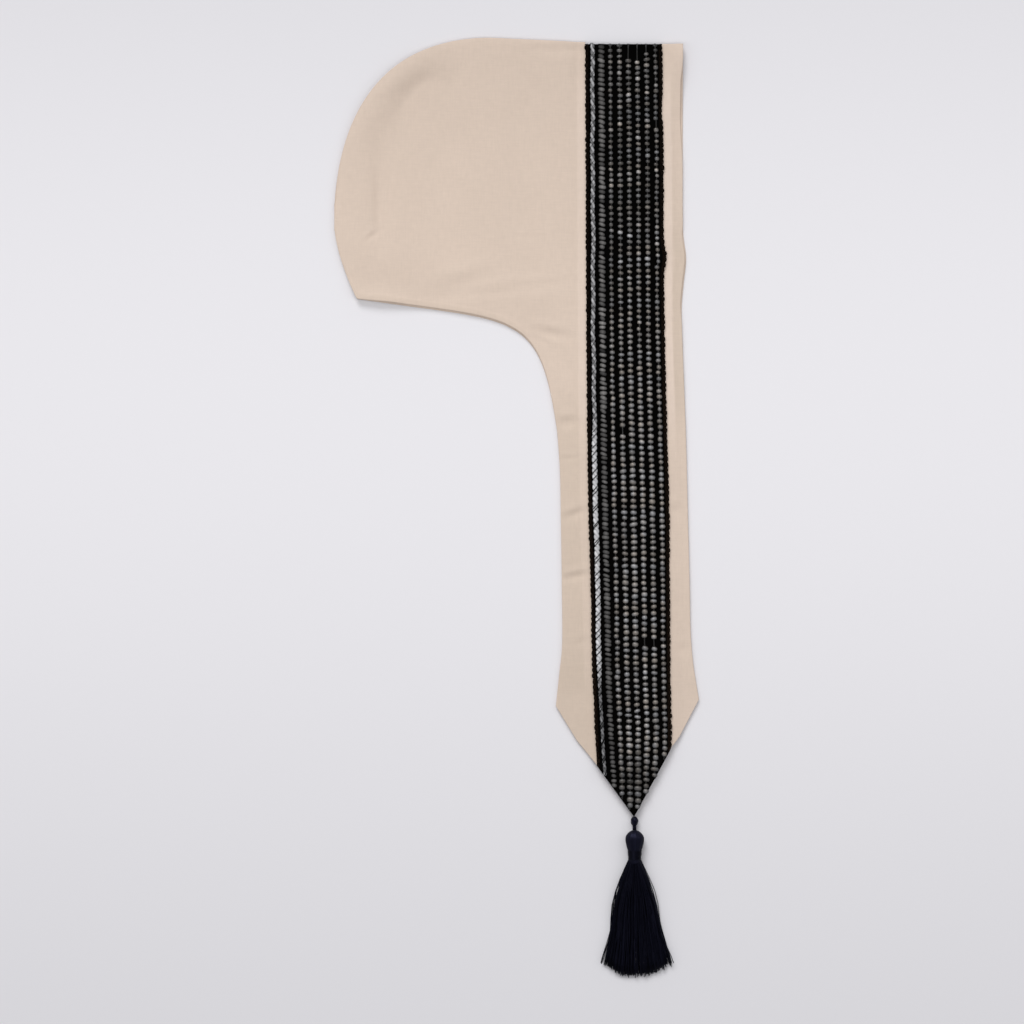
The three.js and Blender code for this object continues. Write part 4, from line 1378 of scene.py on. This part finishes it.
    def dress(self, finishes: dict[Finish, bpy.types.Material]) -> list[bpy.types.Object]:
        """Builds the whole band, which stands for both trims.

        Args:
            finishes: the material of each finish.

        Returns:
            The ground first, then what is sewn on it.
        """
        slot = "beaded_band"
        ground = self.datum.build("band_braid", self.braid_shape(), finishes[Finish.BRAID], slot)
        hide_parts("trim_upper", "trim_under")
        pieces = [ground]
        for half, way in (("upper", 1), ("under", -1)):
            makers = (self.beads_of, self.string_of)
            rows = Shape.joined([make(row, way) for row in range(6) for make in makers])
            for name, shape, finish in (
                ("beads", rows, Finish.BEAD),
                ("cord", self.cord(way), Finish.CORD),
                ("rope", self.rope(way), Finish.SILVER),
                ("selvedge", self.selvedge(way), Finish.BRAID),
            ):
                pieces.append(self.datum.build(f"{name}_{half}", shape, finishes[finish], slot))
        return pieces


# ---- Tassel -------------------------------------------------------------------------------------


@dataclass
class Tassel:
    """Ball knot, head, wound neck and a skirt of floss."""

    datum: Datum
    x: float = 9.9
    axis: float = 7.0
    knot_axis: float = 3.7
    flat: float = 0.8
    threads: int = 620
    skirt_top: float = -733.2
    skirt_length: float = 105.5
    side_length: float = 94.0
    widths: Table = Table(
        (0, -7, -22, -43, -72, -106),
        {"width": (9.8, 16.5, 28.0, 39.0, 48.5, 63.0), "height": (7.4, 9.0, 8.2, 6.6, 5.4, 4.6)},
    )
    seed: int = 23

    def knot(self) -> Shape:
        """Ball of wound thread, 3.4 in radius and 4.4 in half length, on the cord into the head."""
        angle = np.linspace(-np.pi / 2 + 0.5, np.pi / 2, 16)
        ball = np.stack([3.4 * np.cos(angle), -699.5 + 4.4 * np.sin(angle)], -1)
        profile = np.concatenate([[[0, -708.5], [1.75, -708.5], [1.8, -705.2], [1.72, -703.9]], ball])
        profile[-1, 0] = 0
        sides = 36
        slant = np.cos(5 * around(sides)[None] + profile[:, 1:] * 1.15)
        body = turned(profile, (self.x, self.knot_axis), 1.0, sides, 0.055 * slant)
        body.tone = 0.45 + 0.3 * np.sin(np.arange(len(body.points)) * 0.37)
        return body

    def head(self) -> Shape:
        """Floss drawn over the head and under the binding: a turned form with 44 ridges down it."""
        outline = np.array(
            [
                [0, -737.5], [4.6, -737.2], [5.2, -736], [5.3, -730], [5.8, -726], [6.5, -724.2],
                [7.25, -721.6], [7.95, -718.6], [8.4, -715.6], [8.2, -713.3], [7.1, -711.1], [5.4, -709.2],
                [3.5, -707.9], [1.9, -707.1], [0, -706.9],
            ]
        )  # fmt: skip
        place = np.linspace(0, len(outline) - 1, 57)
        rows = np.arange(len(outline))
        profile = np.stack([np.interp(place, rows, outline[:, k]) for k in (0, 1)], -1)
        kernel = np.array([0.25, 0.5, 0.25])
        for _ in range(3):
            profile[1:-1] = np.stack([np.convolve(profile[:, k], kernel, "valid") for k in (0, 1)], -1)
        ridges, per_ridge = 44, 3
        sides = ridges * per_ridge
        random = np.random.default_rng(self.seed)
        uneven = np.repeat(random.normal(0, 0.012, ridges), per_ridge)
        ridge = np.broadcast_to(0.016 * np.cos(ridges * around(sides)) + uneven, (len(profile), sides))
        body = turned(profile, (self.x, self.axis), self.flat, sides, ridge)
        streak = np.repeat(random.uniform(0.25, 0.85, ridges), per_ridge)
        body.tone = np.concatenate([np.broadcast_to(streak, (len(profile) - 2, sides)).ravel(), [0.5, 0.5]])
        return body

    def binding(self) -> Shape:
        """Nearly nine rounds of thread about the neck, each a rod on an ellipse that runs into the next."""
        rounds, per_round = 8.6, 40
        turn = np.linspace(0, rounds * 2 * np.pi, int(rounds * per_round))
        level = mixed(-725.4, -733.2, turn / turn[-1])
        radius = mixed(6.05, 5.35, turn / turn[-1]) + 0.12 * np.sin(level * 1.3)
        x, z = self.x + radius * np.cos(turn), self.axis + radius * self.flat * np.sin(turn)
        return spiral_rod(np.stack([x, level, z], -1), 0.52, 6, 0.01)

    def skirt(self) -> Shape:
        """Threads from the root, each with its own place in the bundle, its own sway and length.

        A thread's place is x = axis + u w(down) / 2 + sway, and its height goes from its place in the
        round bundle to its place in the flat one on the surface.

        Returns:
            The rods.
        """
        random = np.random.default_rng(self.seed + 1)
        n = self.threads
        stations = np.array([0, 0.04, 0.1, 0.2, 0.32, 0.45, 0.58, 0.7, 0.82, 0.92, 1.0])
        u = np.clip(np.sin(random.uniform(-1.25, 1.25, n)) * 1.02 + random.normal(0, 0.04, n), -1, 1)
        layer = random.uniform(-1, 1, n)
        length = mixed(self.skirt_length, self.side_length, np.abs(u) ** 2.2) + random.normal(0, 1.5, n)
        down = stations[None] * length[:, None]
        nominal = -down * (106 / np.maximum(length, 1))[:, None]
        width = self.widths.at("width", nominal)
        height = self.widths.at("height", nominal)
        settle = smooth(stations, 0, 0.5)[None]
        round_off = np.sqrt(1 - 0.6 * layer**2)[:, None]
        drift = random.normal(0, 1.0, (n, 1)) * stations * 0.8
        phase, speed = random.uniform(0, 6.3, (n, 1)), random.uniform(0.8, 1.9, (n, 1))
        wave = random.uniform(0.1, 0.75, (n, 1)) * np.sin(phase + stations * 6.3 * speed)
        wave = wave * smooth(stations, 0.05, 0.4)
        fuller = np.where(u < 0, -1.0, 1.0)[:, None] * smooth(down, 22, 80) * 0.09
        x = self.x + u[:, None] * width / 2 * mixed(round_off, 0.97, settle) * (0.93 + fuller) + drift + wave
        # A few loose threads bow out at the sides, and the outermost tips flick outwards.
        loose = (np.abs(u) > 0.93) & (random.uniform(0, 1, n) < 0.3)
        bow = np.where(u < 0, 1.9, 1.6)[:, None] * np.sin(np.pi * np.clip((stations - 0.12) / 0.6, 0, 1))
        x = x + np.where(loose, np.sign(u), 0)[:, None] * bow
        flick = (np.abs(u) > 0.9) & (random.uniform(0, 1, n) < 0.3)
        flicked = np.where(flick, np.sign(u) * random.uniform(1.5, 5.5, n), 0)[:, None]
        x = x + flicked * smooth(stations, 0.55, 1.0) ** 1.4
        low = mixed(self.axis, height / 2 + 0.35, settle)
        z = low + layer[:, None] * height / 2 * 0.92 * mixed(np.sqrt(1 - 0.55 * u**2)[:, None], 1, settle)
        z = np.maximum(z + 0.25 * wave, 0.5)
        radius = np.broadcast_to(mixed(0.24, 0.43, smooth(stations, 0.0, 0.2)), (n, len(stations)))
        radius = radius * random.uniform(0.85, 1.15, (n, 1))
        lock = np.sin(u * 17 + 0.7) * np.sin(u * 7.3 + 2.0) + 0.5 * np.sin(u * 41)
        tone = random.normal(0.38, 0.16, (n, 1)) + 0.3 * lock[:, None] + 0.1 * np.sin(phase + stations * 4)
        y = self.skirt_top + 1.5 - down
        return tubes(np.stack([x, y, z], -1), radius, 3, np.clip(tone, 0.02, 1))

    def dress(self, floss: bpy.types.Material) -> list[bpy.types.Object]:
        """Builds the tassel's pieces, each in place of its CAD node.

        Args:
            floss: their finish.

        Returns:
            Knot, binding, and head with skirt.
        """
        slot = "tassel_thread"
        knot = self.datum.build("tassel_ball", self.knot(), floss, slot)
        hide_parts("tassel_knot")
        binding = self.datum.build("tassel_neck", self.binding(), floss, slot)
        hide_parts("tassel_binding")
        body = self.datum.build("tassel_floss", Shape.joined([self.head(), self.skirt()]), floss, slot)
        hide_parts("tassel")
        return [knot, binding, body]


def spiral_rod(path: np.ndarray, radius: float, sides: int, tone: float) -> Shape:
    """A rod along a path that winds round an axis along y.

    Its ring is radius (cos a O + sin a Y), where O points off the axis and Y is the y axis.

    Args:
        path: stations x 3 points.
        radius: the rod's.
        sides: corners of its section.
        tone: its tone.

    Returns:
        The closed rod.
    """
    centre = path.mean(0)
    out = path - centre
    out[:, 1] = 0
    out /= np.linalg.norm(out, axis=1, keepdims=True)
    turn = around(sides)
    ring = np.cos(turn)[:, None] * out[:, None] + np.sin(turn)[:, None] * np.array([0.0, 1.0, 0.0])
    points = path[:, None] + radius * ring
    number = np.arange(len(path) * sides).reshape(len(path), sides)
    travelled = np.cumsum(np.linalg.norm(np.diff(path, axis=0, prepend=path[:1]), axis=1))
    uv = np.stack(np.broadcast_arrays(turn * radius, travelled[:, None]), -1)
    return Shape(
        points.reshape(-1, 3),
        [np.roll(ring_walls(number)[:, ::-1], 1, 1), number[:1], number[-1:, ::-1]],
        np.full(number.size, tone),
        uv.reshape(-1, 2),
    )


# ---- Camera, light and floor --------------------------------------------------------------------


@dataclass(frozen=True)
class Studio:
    """Camera straight above, an even room with a lamp and a window, and a plain paper floor."""

    datum: Datum
    centre: tuple[float, float] = (-100.35, -421.2)
    view_width: float = 921.6
    lens: float = 85.0
    sensor: float = 36.0
    room_light: float = 0.42
    room_seen: float = 0.47         # as the camera sees it, as grey as the far floor
    lamp_watts: float = 4.2
    lamp_size: tuple[float, float] = (3.0, 0.3)
    lamp_place: tuple[float, float, float] = (0.0, 0.13, 0.68)
    window_strength: float = 1.5
    window_rise: float = 38.0       # degrees above the surface
    window_turn: float = 106.0      # degrees from +x

    def camera(self) -> None:
        """Sets the camera straight down, so that the view is its width across at the surface."""
        data = bpy.data.cameras.new("camera")
        data.lens, data.sensor_width = self.lens, self.sensor
        data.clip_end = 20
        eye = bpy.data.objects.new("camera", data)
        height = self.view_width * self.lens / self.sensor + 4.0
        eye.location = Vector((self.centre[0] + self.datum.x, self.centre[1] + self.datum.y, height)) * MM
        bpy.context.scene.collection.objects.link(eye)
        bpy.context.scene.camera = eye

    def light(self) -> None:
        """An even room, a long low lamp, and a soft window from above the crown, which shows the folds."""
        scene = bpy.context.scene
        world = bpy.data.worlds.new("room")
        scene.world = world
        world.use_nodes = True
        tree = world.node_tree
        room = tree.nodes["Background"]
        room.inputs["Color"].default_value = linear("#fdfdff")
        seen = add_node(tree, "LightPath").outputs["Is Camera Ray"]
        strength = add_node(tree, "Mix", {0: seen, 2: self.room_light, 3: self.room_seen}).outputs[0]
        tree.links.new(strength, room.inputs["Strength"])
        lamp = bpy.data.lights.new("softbox", "AREA")
        lamp.shape, lamp.energy = "RECTANGLE", self.lamp_watts
        lamp.size, lamp.size_y = self.lamp_size
        lamp.color = linear("#fffefc")[:3]
        holder = bpy.data.objects.new("softbox", lamp)
        holder.location = self.lamp_place
        holder.visible_camera = False
        scene.collection.objects.link(holder)
        window = bpy.data.lights.new("window", "SUN")
        window.energy, window.angle = self.window_strength, math.radians(28)
        rise, turn = math.radians(self.window_rise), math.radians(self.window_turn)
        towards = Vector((math.cos(rise) * math.cos(turn), math.cos(rise) * math.sin(turn), math.sin(rise)))
        frame = bpy.data.objects.new("window", window)
        frame.rotation_euler = towards.to_track_quat("Z", "Y").to_euler()
        scene.collection.objects.link(frame)
        scene.view_settings.view_transform = "Standard"

    def floor(self) -> None:
        """A plain sheet of paper 6 m across, just under the resting faces."""
        reach, level = 3.0, -0.0001
        mesh = bpy.data.meshes.new("floor")
        corners = [(x * reach, y * reach, level) for x, y in ((-1, -1), (1, -1), (1, 1), (-1, 1))]
        mesh.from_pydata(corners, [], [(0, 1, 2, 3)])
        sheet = bpy.data.objects.new("floor", mesh)
        sheet.data.materials.append(Paper().material())
        bpy.context.scene.collection.objects.link(sheet)


def flat_area(piece: bpy.types.Object) -> float:
    """Half of a thin closed piece's whole area, in square metres."""
    areas = np.zeros(len(piece.data.polygons), np.float32)
    piece.data.polygons.foreach_get("area", areas)
    return float(areas.sum()) / 2


def main() -> None:
    """Builds camera, cloth, band, tassel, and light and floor."""
    logging.basicConfig(level=logging.INFO, format="%(name)s: %(message)s")
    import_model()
    datum = Datum.from_panel()
    studio = Studio(datum)
    studio.camera()

    cloth = PlainCloth().material()
    under = SidePanel(datum, upper=False, spacing=5.0).dress(cloth)
    upper = SidePanel(datum, upper=True, spacing=2.3).dress(cloth)
    finishes = {finish: finish.value.material() for finish in Finish}
    band = BeadedBand(datum).dress(finishes)
    Tassel(datum).dress(finishes[Finish.FLOSS])
    for piece, rests in ((under, ["floor"]), (upper, [under])):
        LOG.info("%s: flat area %.4f m2", piece.name, flat_area(piece))

    studio.light()
    studio.floor()


if __name__ == "__main__":
    main()
